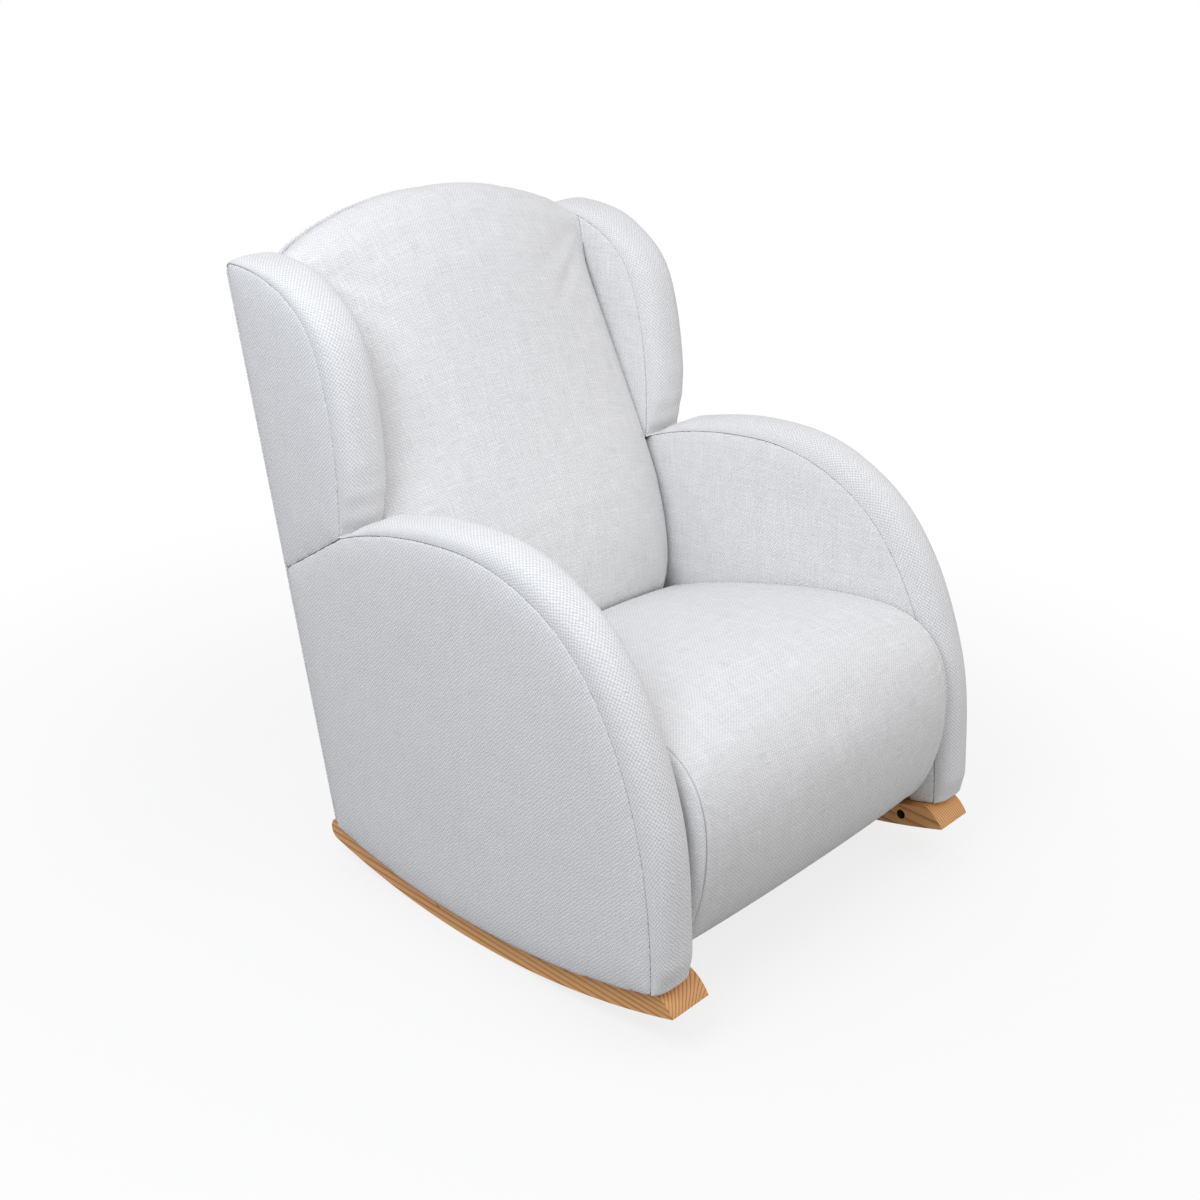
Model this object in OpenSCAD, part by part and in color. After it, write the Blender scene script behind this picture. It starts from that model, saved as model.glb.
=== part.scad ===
// Nursing rocking chair: an upholstered wing chair on two solid pine rockers.
// The sitter faces -Y, +Z is up, and left and right are the sitter's own.
// Sizes along Y are measured from the line where the rockers touch the floor.

/* [Rockers] */
// Radius of the rockers' underside
rocker_r = 1208; // [1100:4:1400]
// Depth of the rocker from its underside to its top
rocker_t = 36; // [30:1:42]
// Width of each rocker
rocker_w = 73.5; // [60:0.5:80]
// Reach of the rocker's front tip, ahead of the floor line
rocker_front = 335; // [325:1:350]
// Reach of the rocker's rounded rear end
rocker_rear = 349; // [340:1:360]
// Length of the rocker's rounded nose
nose_len = 31; // [24:1:36]
// Radius of the nose's curve
nose_r = 60; // [50:1:90]
// How far the rocker's outer face lies inside the fabric
rocker_inset = 12.5; // [6:0.5:20]

/* [Overall] */
// Width across the outer side panels
chair_w = 745; // [715:5:790]
// Height of the back's crest, along the lean
crest_v = 1013; // [985:1:1045]
// Rise of the crest's arch from its ends to its middle
arch_rise = 66; // [50:1:80]
// Lean of the back from vertical, in degrees
back_lean = 12.9; // [10:0.1:16]
// Where the line of the back meets the floor
back_foot = 301; // [290:1:320]
// How far the chair rolls back on its rockers at rest, in degrees
rest_tilt = 3; // [0:1:4]

/* [Arms] */
// Width of the arm between its two seams
arm_w = 71; // [66:1:78]
// Reach of the arm's front seam
arm_front = 308; // [300:1:318]
// Height of the arm's seam at its top
arm_h = 597; // [585:1:610]
// Where the arm is highest
arm_top_y = 45; // [30:1:60]
// How far the shoulder of the arm lies behind its front
shoulder_in = 124; // [115:1:135]
// How far the shoulder lies below the arm's top
shoulder_drop = 99; // [90:1:110]
// Bulge of the padding over the top of the arm
arm_crown_top = 18; // [12:1:24]
// Bulge of the padding down the front of the arm
arm_crown_front = 35; // [24:1:38]
// Bulge of the padding at the foot of the arm
arm_crown_foot = 24; // [14:1:28]

/* [Wings] */
// Width of the wing between its two seams
wing_w = 81; // [76:1:90]
// Height of the wing
wing_h = 922; // [905:1:935]
// Where the wing's front meets the arm
notch_y = 281; // [272:1:290]
// Height of the meeting of wing and arm
notch_z = 555; // [545:1:562]
// Height at which the side seam reaches the back
side_seam_z = 477; // [460:1:500]
// Bulge of the padding down the front of the wing
wing_crown_front = 30; // [22:1:34]
// Bulge of the padding over the top of the wing
wing_crown_top = 17; // [12:1:22]
// Bulge left at the wing's rear corner
wing_crown_rear = 4; // [2:1:8]

/* [Seat] */
// How far the seat's end seams lie inside the arms
seat_end_in = 15.5; // [13:0.5:22]
// Height of the seat's seam at its highest
seat_h = 394; // [385:1:402]
// Height of the seat's seam where it meets the back
seat_rear_h = 309; // [302:1:312]
// Reach of the front roll
seat_front = 331; // [322:1:338]
// Height at which the front roll reaches furthest
roll_z = 255; // [240:1:270]
// Height of the lowest edge of the front roll
roll_foot_z = 76; // [70:1:84]
// Crown of the seat's top
seat_crown = 20; // [10:1:26]
// Crown of the front roll
roll_crown = 11; // [6:1:16]
// Slope of the seat's webbing, in degrees
seat_slope = 12.2; // [10:0.1:14]
// Thickness of the wadded covers over seat and back
cover_t = 22; // [16:1:26]

/* [Back cushion] */
// Depth of the back cushion at the lumbar, from the rear face
lumbar_w = 176; // [165:1:190]
// Crown of the back cushion across its width
back_crown = 26; // [16:1:32]
// How far the back cushion's sides are drawn in
back_draw = 24; // [14:1:30]

/* [Frame] */
// Thickness of the side frames
frame_t = 44; // [38:1:46]
// Thickness of the hardboard behind the covers
board_t = 3; // [2:0.5:4]
// Thickness of the padded outer side panels
panel_t = 10.5; // [8:0.5:14]
// Thickness of the padded rear panel
rear_panel_t = 6; // [5:0.5:8]
// Depth of the curved bottom rails
bottom_rail_h = 50; // [44:1:56]
// Width of the bows of the arm frames
arm_bow_w = 85; // [70:1:95]
// Width of the bows of the wing frames
wing_bow_w = 42; // [34:1:50]
// Depth of the back posts
post_d = 58; // [50:1:62]
// Thickness of the rails of the back
back_rail_t = 32; // [28:1:40]
// Depth of the arched top rail
top_rail_h = 66; // [58:1:75]
// Thickness of the front rail
front_rail_t = 36; // [28:1:40]
// Thickness of the seat's side rails
seat_rail_t = 22; // [18:1:25]
// Reach of the front rail's face
front_rail_y = 262; // [256:1:266]
// Height of the front rail at its face
front_rail_top = 290; // [280:1:295]
// Height of the undersides of the seat's rails
rail_foot_z = 95; // [88:1:100]
// Depth of the seat's side rails
side_rail_h = 62; // [50:1:75]
// Leg of the triangular corner blocks
block_leg = 60; // [45:1:70]
// Height of the corner blocks
block_h = 45; // [35:1:55]

/* [Webbing] */
// Width of a webbing strap
strap_w = 60; // [50:1:70]
// Thickness of a webbing strap
strap_t = 2; // [1.5:0.1:2.5]
// Number of seat straps from front to rear
seat_straps_long = 5; // [3:1:6]
// Number of seat straps from side to side
seat_straps_cross = 4; // [3:1:5]
// Number of straps in the back
back_straps = 4; // [3:1:5]

/* [Fasteners] */
// Diameter of the rocker bolts
bolt_d = 8; // [6:1:10]
// Distance of the rocker bolts from the floor line
bolt_y = 260; // [240:1:270]
// Diameter of the barrel nuts
nut_d = 14; // [12:1:16]
// Length of the barrel nuts
nut_len = 30; // [24:1:34]
// Diameter of the locating dowels
dowel_d = 10; // [8:1:12]
// Length of the locating dowels
dowel_len = 50; // [40:1:56]
// Distance of the dowels from the floor line
dowel_y = 130; // [110:1:160]
// Diameter of the frame screws
screw_d = 6; // [5:0.5:7]
// Length of the frame screws
screw_len = 80; // [70:1:90]

/* [Hidden] */

fabric_color = "whitesmoke";
lining_color = "gainsboro";
pine_color = "burlywood";
rocker_color = "peru";
foam_color = "khaki";
board_color = "sienna";
strap_color = "dimgray";
steel_color = "silver";

// Running clearance between a shank and its hole, and between pieces that seat on a curve
hole_gap = 0.5;
seat_gap = 0.2;
// Clearance between a soft piece and its neighbours
soft_gap = 0.3;
// Depth by which a cutting shape passes the face that it opens
cut_over = 1;
// How far crossing straps press into each other
weave_press = 0.1;
// Height that is above every piece, for cutting shapes
sky = 1200;

// Layers of a side, from the outside in
fabric_x = chair_w / 2;
board_x = fabric_x - panel_t;
frame_x = board_x - board_t;
frame_in = frame_x - frame_t;
arm_in = fabric_x - arm_w;
wing_in = fabric_x - wing_w;
seat_half = arm_in - seat_end_in;
rocker_x = fabric_x - rocker_inset;
rocker_in = rocker_x - rocker_w;
frame_mid = frame_x - frame_t / 2;
side_rail_in = frame_in - seat_rail_t;

// Layers of the back, from the rear face forward
board_w = rear_panel_t;
post_w = board_w + board_t;
rail_front_w = post_w + post_d;
rail_w = rail_front_w - back_rail_t;
foam_w = rail_front_w + strap_t + soft_gap;

// Radii about the rocker's centre
rocker_top_r = rocker_r - rocker_t;
side_foot_r = rocker_top_r - seat_gap;
rail_top_r = side_foot_r - bottom_rail_h;
frame_foot_r = rail_top_r - seat_gap;
nut_r = rocker_r - rocker_t / 2;
bolt_a = asin(bolt_y / nut_r);
dowel_a = asin(dowel_y / nut_r);

// Overlaps that keep the rocker's rounded ends clear of its long curves
nose_tuck = 5;
end_over = 0.05;

// Rocker fastenings
nut_end = frame_mid + nut_len / 2 + seat_gap;
bolt_end_r = nut_r + nut_d / 2 + 2;
washer_d = 3 * bolt_d;
washer_t = 2;
head_d = 1.6 * bolt_d;
spot_r = rail_top_r + 1;
head_r = spot_r - washer_t;
slot_w = 2;
// Share of the dowel that lies in the rocker
dowel_share = 0.4;

// Rails of the back, by their height along the lean
lower_rail_v = 228;
lumbar_rail_v = 540;
cross_rail_h = 60;
rail_drop = 26;
inner_back_w = rail_front_w + 2 * strap_t;

// The rear panel, whose edges stop short of the crest, and the board that it covers
wing_v = wing_h / cos(back_lean);
crest_drop = 4;
board_drop = 30;
corner_r = 8;
rear_foot_v = 84;

// The cover under the seat meets the foot of the seat cushion behind the front rail's face
cloth_t = 2;
tuck_y = 10 - front_rail_y;

// A point w in front of the rear face and v along the lean, as Y and Z, and the way back
function lean_point(w, v) = [back_foot + v * sin(back_lean) - w * cos(back_lean),
    v * cos(back_lean) + w * sin(back_lean)];
function lean_depth(p) = p[1] * sin(back_lean) - (p[0] - back_foot) * cos(back_lean);
function lean_height(p) = (p[0] - back_foot) * sin(back_lean) + p[1] * cos(back_lean);
// The crest is an arc through its ends over the wings' inner seams, and the top rail follows it
back_half = wing_in - 1.5;
arch_half = back_half - 2.5;
arch_r = (arch_half * arch_half + arch_rise * arch_rise) / (2 * arch_rise);
function crest(x) = crest_v - arch_r + sqrt(arch_r * arch_r - x * x);
function rail_top(x) = crest(x) - rail_drop;

// Two screws enter each end of every rail
screw_in = 15;
rail_mid_w = rail_w + back_rail_t / 2;
low_screw_z = rail_foot_z + 3 * screw_in;
rail_screws = concat(
    [for (z = [low_screw_z, front_rail_top - 3 * screw_in]) [front_rail_t / 2 - front_rail_y, z]],
    [for (z = [low_screw_z, low_screw_z + screw_in]) [back_y(z, rail_mid_w), z]],
    [for (v = [lower_rail_v, lumbar_rail_v]) for (end = [screw_in, cross_rail_h - screw_in])
        lean_point(rail_mid_w, v + end)],
    [for (end = [screw_in, 3 * screw_in]) lean_point(rail_mid_w, rail_top(frame_in) - top_rail_h + end)]);

// Crowned bands: steps across, squareness of the section, and the edge left where two bands meet
band_steps = 8;
band_power = 2.5;
band_edge = 0.6;
band_trim = 1.5;

// Back cushion, by depth from the rear face and height along the lean
ring_share = [-1, -0.97, -0.92, -0.84, -0.7, -0.48, -0.24, 0, 0.24, 0.48, 0.7, 0.84, 0.92, 0.97, 1];
ring_x = [for (u = ring_share) u * back_half];
crown_power = 2.4;
cushion_foot_v = 262;
lumbar_v = 480;
lumbar_drop = 38;
belly_foot_pull = [44, 38];
belly_top_pull = [8, -80];
lumbar_pull = [-16, 90];
shoulder_low_pull = [28, -105];
shoulder_high_pull = [-14, 36];
peak_pull = [17, 0];
peak_rear_pull = [-10, 0];
edge_pull = [5, 11];
shoulder_w = 80;
shoulder_dip = 50;
crest_w = 33;
crest_round = 14;
corner_dip = 8;
fade_h = 120;
draw_from = 0.84;

// Seat cushion: how far its ends stand past their seams, and how far their edges lie below them
seat_share = [-1, -0.95, -0.84, -0.66, -0.44, -0.2, 0, 0.2, 0.44, 0.66, 0.84, 0.95, 1];
end_swell = 10;
end_fall = 30;
block_foot_z = 125;

// Y of the plane that lies w in front of the rear face, at height z
function back_y(z, w) = back_foot + z * tan(back_lean) - w / cos(back_lean);

// The seat's webbing plane
function deck_z(y) = front_rail_top - tan(seat_slope) * (y + front_rail_y);
function deck_back(w) = (front_rail_top - tan(seat_slope) * (back_foot - w / cos(back_lean) + front_rail_y))
    / (1 + tan(seat_slope) * tan(back_lean));
function deck_point(w) = [back_y(deck_back(w), w), deck_back(w)];

// A cubic curve from a to d in n steps, and the same without its first point
function curve(a, b, c, d, n) = [for (i = [0:n]) let (t = i / n, s = 1 - t)
    s * s * s * a + 3 * s * s * t * b + 3 * s * t * t * c + t * t * t * d];
function onward(a, b, c, d, n) = [for (i = [1:n]) curve(a, b, c, d, n)[i]];

// Outward normal of an open outline at point i, where the solid lies to the right of travel
function along(p, i) = let (d = p[min(i + 1, len(p) - 1)] - p[max(i - 1, 0)]) d / norm(d);
function outward(p, i) = let (d = along(p, i)) [-d[1], d[0]];

// Arm seam, from the rocker up the front and over to the notch under the wing
function arc_z(y, r) = rocker_r - sqrt(r * r - y * y);
arm_foot = [-arm_front, arc_z(arm_front, side_foot_r)];
arm_shoulder = [shoulder_in - arm_front, arm_h - shoulder_drop];
arm_top = [arm_top_y, arm_h];
notch = [notch_y, notch_z];
foot_pull = [0, 163];
shoulder_rise_pull = [88, 103];
shoulder_pull = [49, 57];
top_front_pull = [90, 0];
top_pull = [75, 0];
notch_pull = [76, -30];
arm_curve = concat(
    curve(arm_foot, arm_foot + foot_pull, arm_shoulder - shoulder_rise_pull, arm_shoulder, 9),
    onward(arm_shoulder, arm_shoulder + shoulder_pull, arm_top - top_front_pull, arm_top, 6),
    onward(arm_top, arm_top + top_pull, notch - notch_pull, notch, 6));

// Wing seam, from the notch up the front and over to the rear face
wing_rise = [37, 267];
wing_shoulder = notch + wing_rise;
wing_end = [back_y(wing_h, board_w), wing_h];
rise_pull = [-4, 85];
wing_rise_pull = [35, 86];
wing_pull = [22, 54];
wing_top_pull = [99, 0];
wing_curve = concat(
    curve(notch, notch + rise_pull, wing_shoulder - wing_rise_pull, wing_shoulder, 7),
    onward(wing_shoulder, wing_shoulder + wing_pull, wing_end - wing_top_pull, wing_end, 7));

side_seam_end = [back_y(side_seam_z, board_w), side_seam_z];
// The side's outline, which the rocker's top cuts, starts at the floor
arm_rise = concat([[-arm_front, 0]], [for (i = [1:len(arm_curve) - 1]) arm_curve[i]]);
arm_area = concat(arm_rise, [side_seam_end, [back_y(0, board_w), 0]]);
wing_area = concat(wing_curve, [side_seam_end]);
side_area = concat(arm_rise, [for (i = [1:len(wing_curve) - 1]) wing_curve[i]], [[back_y(0, board_w), 0]]);

// Seat seam, from the foot of the roll round its nose and over the top to the back
seat_rear = [206, seat_rear_h];
seat_top = [-194, seat_h];
roll_nose = [-seat_front, roll_z];
roll_foot = [-front_rail_y, roll_foot_z];
roll_foot_pull = [-43, 24];
nose_pull = [0, 70];
nose_rise_pull = [0, 105];
seat_front_pull = [-81, 2];
seat_top_pull = [124, -2];
seat_rear_pull = [116, -43];
seat_curve = concat(
    curve(roll_foot, roll_foot + roll_foot_pull, roll_nose - nose_pull, roll_nose, 6),
    onward(roll_nose, roll_nose + nose_rise_pull, seat_top + seat_front_pull, seat_top, 7),
    onward(seat_top, seat_top + seat_top_pull, seat_rear - seat_rear_pull, seat_rear, 6));
seat_end_y = back_y(deck_back(rail_front_w), rail_front_w) - soft_gap;
seat_tuck_y = seat_rear[0] + 16;
seat_tuck_z = 260;
deck_rise = 2 * strap_t + soft_gap;
front_face = -front_rail_y - soft_gap;

arm_crowns = [[0, arm_crown_foot * 0.6], [0.045, arm_crown_foot], [0.25, arm_crown_front],
    [0.45, arm_crown_front], [0.68, arm_crown_top], [0.91, arm_crown_top], [0.955, arm_crown_top * 0.6],
    [1, band_edge]];

// The middle of the chair's depth, as it stands at rest, which the origin stands under
function rest_y(p) = p[0] * cos(rest_tilt) + (p[1] - rocker_r) * sin(rest_tilt);
arm_last = len(arm_curve) - 1;
arm_fronts = [for (i = [0:arm_last])
    rest_y(arm_curve[i] + outward(arm_curve, i) * lookup(i / arm_last, arm_crowns))];
seat_fronts = [for (i = [0:len(seat_curve) - 1]) rest_y(seat_curve[i] + outward(seat_curve, i) * roll_crown)];
rocker_tip_y = rest_y([-rocker_front, arc_z(rocker_front, rocker_r)]);
front_reach = -min(concat(arm_fronts, seat_fronts, [rocker_tip_y]));
rear_reach = rest_y(lean_point(0, crest_v - crest_drop));
mid_y = (rear_reach - front_reach) / 2;

// A closed solid through a list of rings of equal length
module skin(rings) {
    k = len(rings[0]);
    n = len(rings);
    sides = [for (i = [0:n - 2]) for (j = [0:k - 1])
        let (a = i * k + j, b = i * k + (j + 1) % k)
        each [[a, b, b + k], [a, b + k, a + k]]];
    caps = [[for (j = [k - 1:-1:0]) j], [for (j = [0:k - 1]) (n - 1) * k + j]];
    polyhedron([for (r = rings) each r], concat(sides, caps), convexity = 8);
}

// A flat piece with its outline in Y and Z, from x to x + t
module slab(x, t, outline) {
    translate([x, 0, 0]) rotate([90, 0, 90]) linear_extrude(t) polygon(outline);
}

// A disc about the rocker's centre
module disc(r, x, t) {
    translate([x, 0, rocker_r]) rotate([0, 90, 0]) cylinder(r = r, h = t, $fn = 360);
}

// Places its children on the left or, mirrored, on the right, rolled back about the rockers' centre to
// the way that the chair rests, with the origin under the middle
module side(s) {
    translate([0, -mid_y, rocker_r]) rotate([-rest_tilt, 0, 0]) translate([0, 0, -rocker_r])
        mirror([s < 0 ? 1 : 0, 0, 0]) children();
}
module both() {
    side(1) children();
    side(-1) children();
}

// Axes of the rocker's radius at an angle: children point down through the rocker along -Z
module radial(a) {
    translate([0, 0, rocker_r]) rotate([a, 0, 0]) children();
}

// Axes of the leaning back: X across, -Y forward from the rear face, Z up the lean
module leaned() {
    translate([0, back_foot, 0]) rotate([-back_lean, 0, 0]) children();
}
// A flat piece with its outline in X and along the lean, from w to w + t forward
module leaned_slab(w, t, outline) {
    leaned() translate([0, -w, 0]) rotate([90, 0, 0]) linear_extrude(t) polygon(outline);
}
// The space in front of the plane at w, as deep as a side
module ahead_of(w) {
    slab(0, chair_w, [[back_y(0, w), 0], [back_y(sky, w), sky], [-sky, sky], [-sky, 0]]);
}

module rocker_profile() {
    tip = [-rocker_front, arc_z(rocker_front, rocker_r)];
    start_y = nose_len - rocker_front;
    start = [start_y, arc_z(start_y, rocker_top_r)];
    chord = start - tip;
    half = norm(chord) / 2;
    nose_c = (start + tip) / 2 + sqrt(nose_r * nose_r - half * half) * [chord[1], -chord[0]] / (2 * half);
    rear_a = asin((rocker_rear - rocker_t / 2) / nut_r);
    front_a = asin((nose_tuck - rocker_front + nose_len) / -rocker_top_r);
    intersection() {
        difference() {
            translate([0, rocker_r]) circle(rocker_r, $fn = 360);
            translate([0, rocker_r]) circle(rocker_top_r, $fn = 360);
        }
        union() {
            polygon([[0, rocker_r], [-2 * sky * tan(front_a), rocker_r - 2 * sky],
                [2 * sky * tan(rear_a), rocker_r - 2 * sky]]);
            translate(nose_c) circle(nose_r, $fn = 180);
            translate([nut_r * sin(rear_a), rocker_r - nut_r * cos(rear_a)])
                circle(rocker_t / 2 + end_over, $fn = 90);
        }
    }
}

module bolt_hole(depth) {
    translate([frame_mid, 0, -depth]) cylinder(d = bolt_d + 2 * hole_gap, h = 3 * bottom_rail_h, $fn = 36);
}
module dowel(grow) {
    translate([frame_mid, 0, -rocker_top_r - dowel_len * dowel_share - grow])
        cylinder(d = dowel_d + 2 * grow, h = dowel_len + 2 * grow, $fn = 36);
}

module rocker(s) {
    color(rocker_color) side(s) difference() {
        translate([rocker_in, 0, 0]) rotate([90, 0, 90]) linear_extrude(rocker_w) rocker_profile();
        for (a = [-bolt_a, bolt_a]) radial(a) {
            translate([rocker_in - cut_over, 0, -nut_r]) rotate([0, 90, 0])
                cylinder(d = nut_d + 2 * seat_gap, h = nut_end - rocker_in + cut_over, $fn = 48);
            bolt_hole(bolt_end_r + cut_over);
        }
        for (a = [-dowel_a, dowel_a]) radial(a) dowel(seat_gap);
    }
}

module rocker_bolts() {
    color(steel_color) both() for (a = [-bolt_a, bolt_a]) radial(a) translate([frame_mid, 0, 0]) {
        translate([0, 0, -bolt_end_r]) cylinder(d = bolt_d, h = bolt_end_r - head_r, $fn = 36);
        translate([0, 0, -head_r]) difference() {
            cylinder(d = head_d, h = bolt_d, $fn = 48);
            translate([0, 0, bolt_d / 2]) cylinder(d = bolt_d * 0.9, h = bolt_d, $fn = 6);
        }
    }
}

module bolt_washers() {
    color(steel_color) both() for (a = [-bolt_a, bolt_a]) radial(a)
        translate([frame_mid, 0, -head_r - washer_t]) difference() {
            cylinder(d = washer_d, h = washer_t, $fn = 48);
            translate([0, 0, -cut_over])
                cylinder(d = bolt_d + hole_gap, h = washer_t + 2 * cut_over, $fn = 36);
        }
}

module barrel_nuts() {
    color(steel_color) both() for (a = [-bolt_a, bolt_a]) radial(a) translate([frame_mid, 0, -nut_r])
        difference() {
            translate([-nut_len / 2, 0, 0]) rotate([0, 90, 0]) cylinder(d = nut_d, h = nut_len, $fn = 48);
            translate([0, 0, -nut_d]) cylinder(d = bolt_d + 2 * seat_gap, h = 2 * nut_d, $fn = 36);
            translate([-nut_len / 2 - cut_over, -nut_d, -slot_w / 2])
                cube([slot_w + cut_over, 2 * nut_d, slot_w]);
        }
}

module rocker_dowels() {
    color(pine_color) both() for (a = [-dowel_a, dowel_a]) radial(a) dowel(0);
}

module bottom_rail(s) {
    color(pine_color) side(s) difference() {
        intersection() {
            disc(side_foot_r, frame_in, frame_t);
            slab(frame_in, frame_t, arm_area);
            ahead_of(post_w);
        }
        disc(rail_top_r, frame_in - cut_over, frame_t + 2 * cut_over);
        for (a = [-bolt_a, bolt_a]) radial(a) {
            bolt_hole(rocker_top_r + cut_over);
        }
        head_pockets();
        for (a = [-dowel_a, dowel_a]) radial(a) dowel(seat_gap);
    }
}

// Screws run inward through the side frames into the ends of the rails
module screw(p, grow) {
    translate([frame_x - screw_len - grow, p[0], p[1]]) rotate([0, 90, 0])
        cylinder(d = screw_d + 2 * grow, h = screw_len, $fn = 24);
    translate([frame_x - screw_d / 2 - grow, p[0], p[1]]) rotate([0, 90, 0])
        cylinder(d = 2 * screw_d + 2 * grow, h = screw_d / 2 + 2 * grow, $fn = 32);
}
module screws(grow) {
    for (p = rail_screws) screw(p, grow);
}

// Pockets over the bolts' heads, where a socket key reaches them
module head_pockets() {
    for (a = [-bolt_a, bolt_a]) radial(a) translate([frame_mid, 0, -spot_r])
        cylinder(d = washer_d + 2 * hole_gap, h = 2 * bolt_d + washer_t, $fn = 48);
}

module arm_frame(s) {
    color(pine_color) side(s) difference() {
        intersection() {
            slab(frame_in, frame_t, arm_area);
            disc(frame_foot_r, frame_in, frame_t);
            ahead_of(rail_front_w);
        }
        translate([frame_in - cut_over, 0, 0]) rotate([90, 0, 90]) linear_extrude(frame_t + 2 * cut_over)
            offset(delta = -arm_bow_w) polygon(arm_area);
        head_pockets();
        screws(seat_gap);
    }
}

module back_post(s) {
    color(pine_color) side(s) difference() {
        intersection() {
            slab(frame_in, frame_t, [[back_y(0, rail_front_w), 0], [back_y(0, post_w), 0],
                [back_y(sky, post_w), sky], [back_y(sky, rail_front_w), sky]]);
            slab(frame_in, frame_t, side_area);
            disc(frame_foot_r, frame_in, frame_t);
        }
        head_pockets();
        screws(seat_gap);
    }
}

module wing_frame(s) {
    color(pine_color) side(s) intersection() {
        translate([frame_in, 0, 0]) rotate([90, 0, 90]) linear_extrude(frame_t) difference() {
            polygon(wing_area);
            offset(delta = -wing_bow_w) polygon(wing_area);
        }
        ahead_of(rail_front_w);
    }
}

module side_board(s) {
    color(board_color) side(s) intersection() {
        slab(frame_x, board_t, side_area);
        disc(side_foot_r, frame_x, board_t);
    }
}

module front_rail() {
    y = -front_rail_y;
    color(pine_color) side(1) difference() {
        slab(-frame_in, 2 * frame_in, [[y, rail_foot_z], [y, deck_z(y)],
            [y + front_rail_t, deck_z(y + front_rail_t)], [y + front_rail_t, rail_foot_z]]);
        for (m = [0, 1]) mirror([m, 0, 0]) screws(seat_gap);
    }
}

module rear_rail() {
    color(pine_color) side(1) difference() {
        slab(-frame_in, 2 * frame_in, [[back_y(rail_foot_z, rail_front_w), rail_foot_z],
            [back_y(rail_foot_z, rail_w), rail_foot_z], deck_point(rail_w), deck_point(rail_front_w)]);
        for (m = [0, 1]) mirror([m, 0, 0]) screws(seat_gap);
    }
}

module seat_rail(s) {
    y = front_rail_t - front_rail_y;
    end = deck_point(rail_front_w);
    low = end[1] - side_rail_h;
    color(pine_color) side(s) slab(side_rail_in, seat_rail_t, [[y, deck_z(y) - side_rail_h],
        [y, deck_z(y)], end, [back_y(low, rail_front_w), low]]);
}

module corner_blocks() {
    y = front_rail_t - front_rail_y;
    top = deck_z(y + block_leg) - strap_t;
    rear_top = (deck_back(rail_front_w) - rail_front_w * sin(back_lean)) / cos(back_lean) - 2 * strap_t;
    color(pine_color) both() {
        translate([0, 0, top - block_h]) linear_extrude(block_h)
            polygon([[side_rail_in, y], [side_rail_in - block_leg, y], [side_rail_in, y + block_leg]]);
        leaned() translate([0, 0, rear_top - block_h]) linear_extrude(block_h)
            polygon([[side_rail_in, -rail_front_w], [side_rail_in, -rail_front_w - block_leg],
                [side_rail_in - block_leg, -rail_front_w]]);
    }
}

// A rail of the back, with its outline in X and along the lean
module back_rail(outline) {
    color(pine_color) side(1) difference() {
        leaned_slab(rail_w, back_rail_t, outline);
        for (m = [0, 1]) mirror([m, 0, 0]) screws(seat_gap);
    }
}
module back_cross_rail(low, high) {
    back_rail([[-frame_in, low], [frame_in, low], [frame_in, high], [-frame_in, high]]);
}
module lower_back_rail() {
    back_cross_rail(lower_rail_v, lower_rail_v + cross_rail_h);
}
module lumbar_rail() {
    back_cross_rail(lumbar_rail_v, lumbar_rail_v + cross_rail_h);
}
module top_rail() {
    xs = concat([-frame_in], ring_x, [frame_in]);
    back_rail(concat([for (x = xs) [x, rail_top(x) - top_rail_h]], [for (x = xs) [-x, rail_top(x)]]));
}

module frame_screws() {
    color(steel_color) both() screws(0);
}

// A strap on the seat's webbing plane from y0 to y1, with its underside lift above the plane
module seat_strap(x, width, y0, y1, lift) {
    slab(x, width, [[y0, deck_z(y0) + lift], [y1, deck_z(y1) + lift],
        [y1, deck_z(y1) + lift + strap_t], [y0, deck_z(y0) + lift + strap_t]]);
}
module seat_webbing() {
    half = arm_in - soft_gap;
    first = front_rail_t - front_rail_y;
    step_y = (deck_point(rail_front_w)[0] - first) / seat_straps_cross;
    step_x = 2 * side_rail_in / seat_straps_long;
    front_y = soft_gap - front_rail_y;
    rear_y = deck_point(rail_w + strap_t)[0];
    color(strap_color) side(1) {
        for (i = [0:seat_straps_cross - 1]) let (y = first + (i + 0.5) * step_y - strap_w / 2)
            seat_strap(-half, 2 * half, y, y + strap_w, 0);
        for (i = [0:seat_straps_long - 1]) let (x = (i + 0.5) * step_x - side_rail_in - strap_w / 2)
            seat_strap(x, strap_w, front_y, rear_y, strap_t - weave_press);
    }
}

module back_webbing() {
    step = 2 * wing_in / back_straps;
    low = lower_rail_v + cross_rail_h / 4;
    color(strap_color) side(1) for (i = [0:back_straps - 1])
        let (x = -wing_in + (i + 0.5) * step, high = rail_top(x) - top_rail_h / 2)
        leaned_slab(rail_front_w, strap_t, [[x - strap_w / 2, low], [x + strap_w / 2, low],
            [x + strap_w / 2, high], [x - strap_w / 2, high]]);
}

// Rear outline: straight sides up to the wings, then the crest's arch
function rear_outline(half, foot, drop) = concat(
    [[half, foot], [half, wing_v - drop - corner_r], [half - corner_r, wing_v - drop],
        [wing_in, wing_v - drop]],
    [for (x = ring_x) [-x, crest(x) - drop]],
    [[-wing_in, wing_v - drop], [corner_r - half, wing_v - drop], [-half, wing_v - drop - corner_r],
        [-half, foot]]);
module rear_panel() {
    color(fabric_color) side(1)
        leaned_slab(0, rear_panel_t, rear_outline(fabric_x, rear_foot_v, crest_drop));
}
module back_board() {
    color(board_color) side(1)
        leaned_slab(board_w, board_t, rear_outline(frame_x, rear_foot_v + board_t, board_drop));
}

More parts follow.
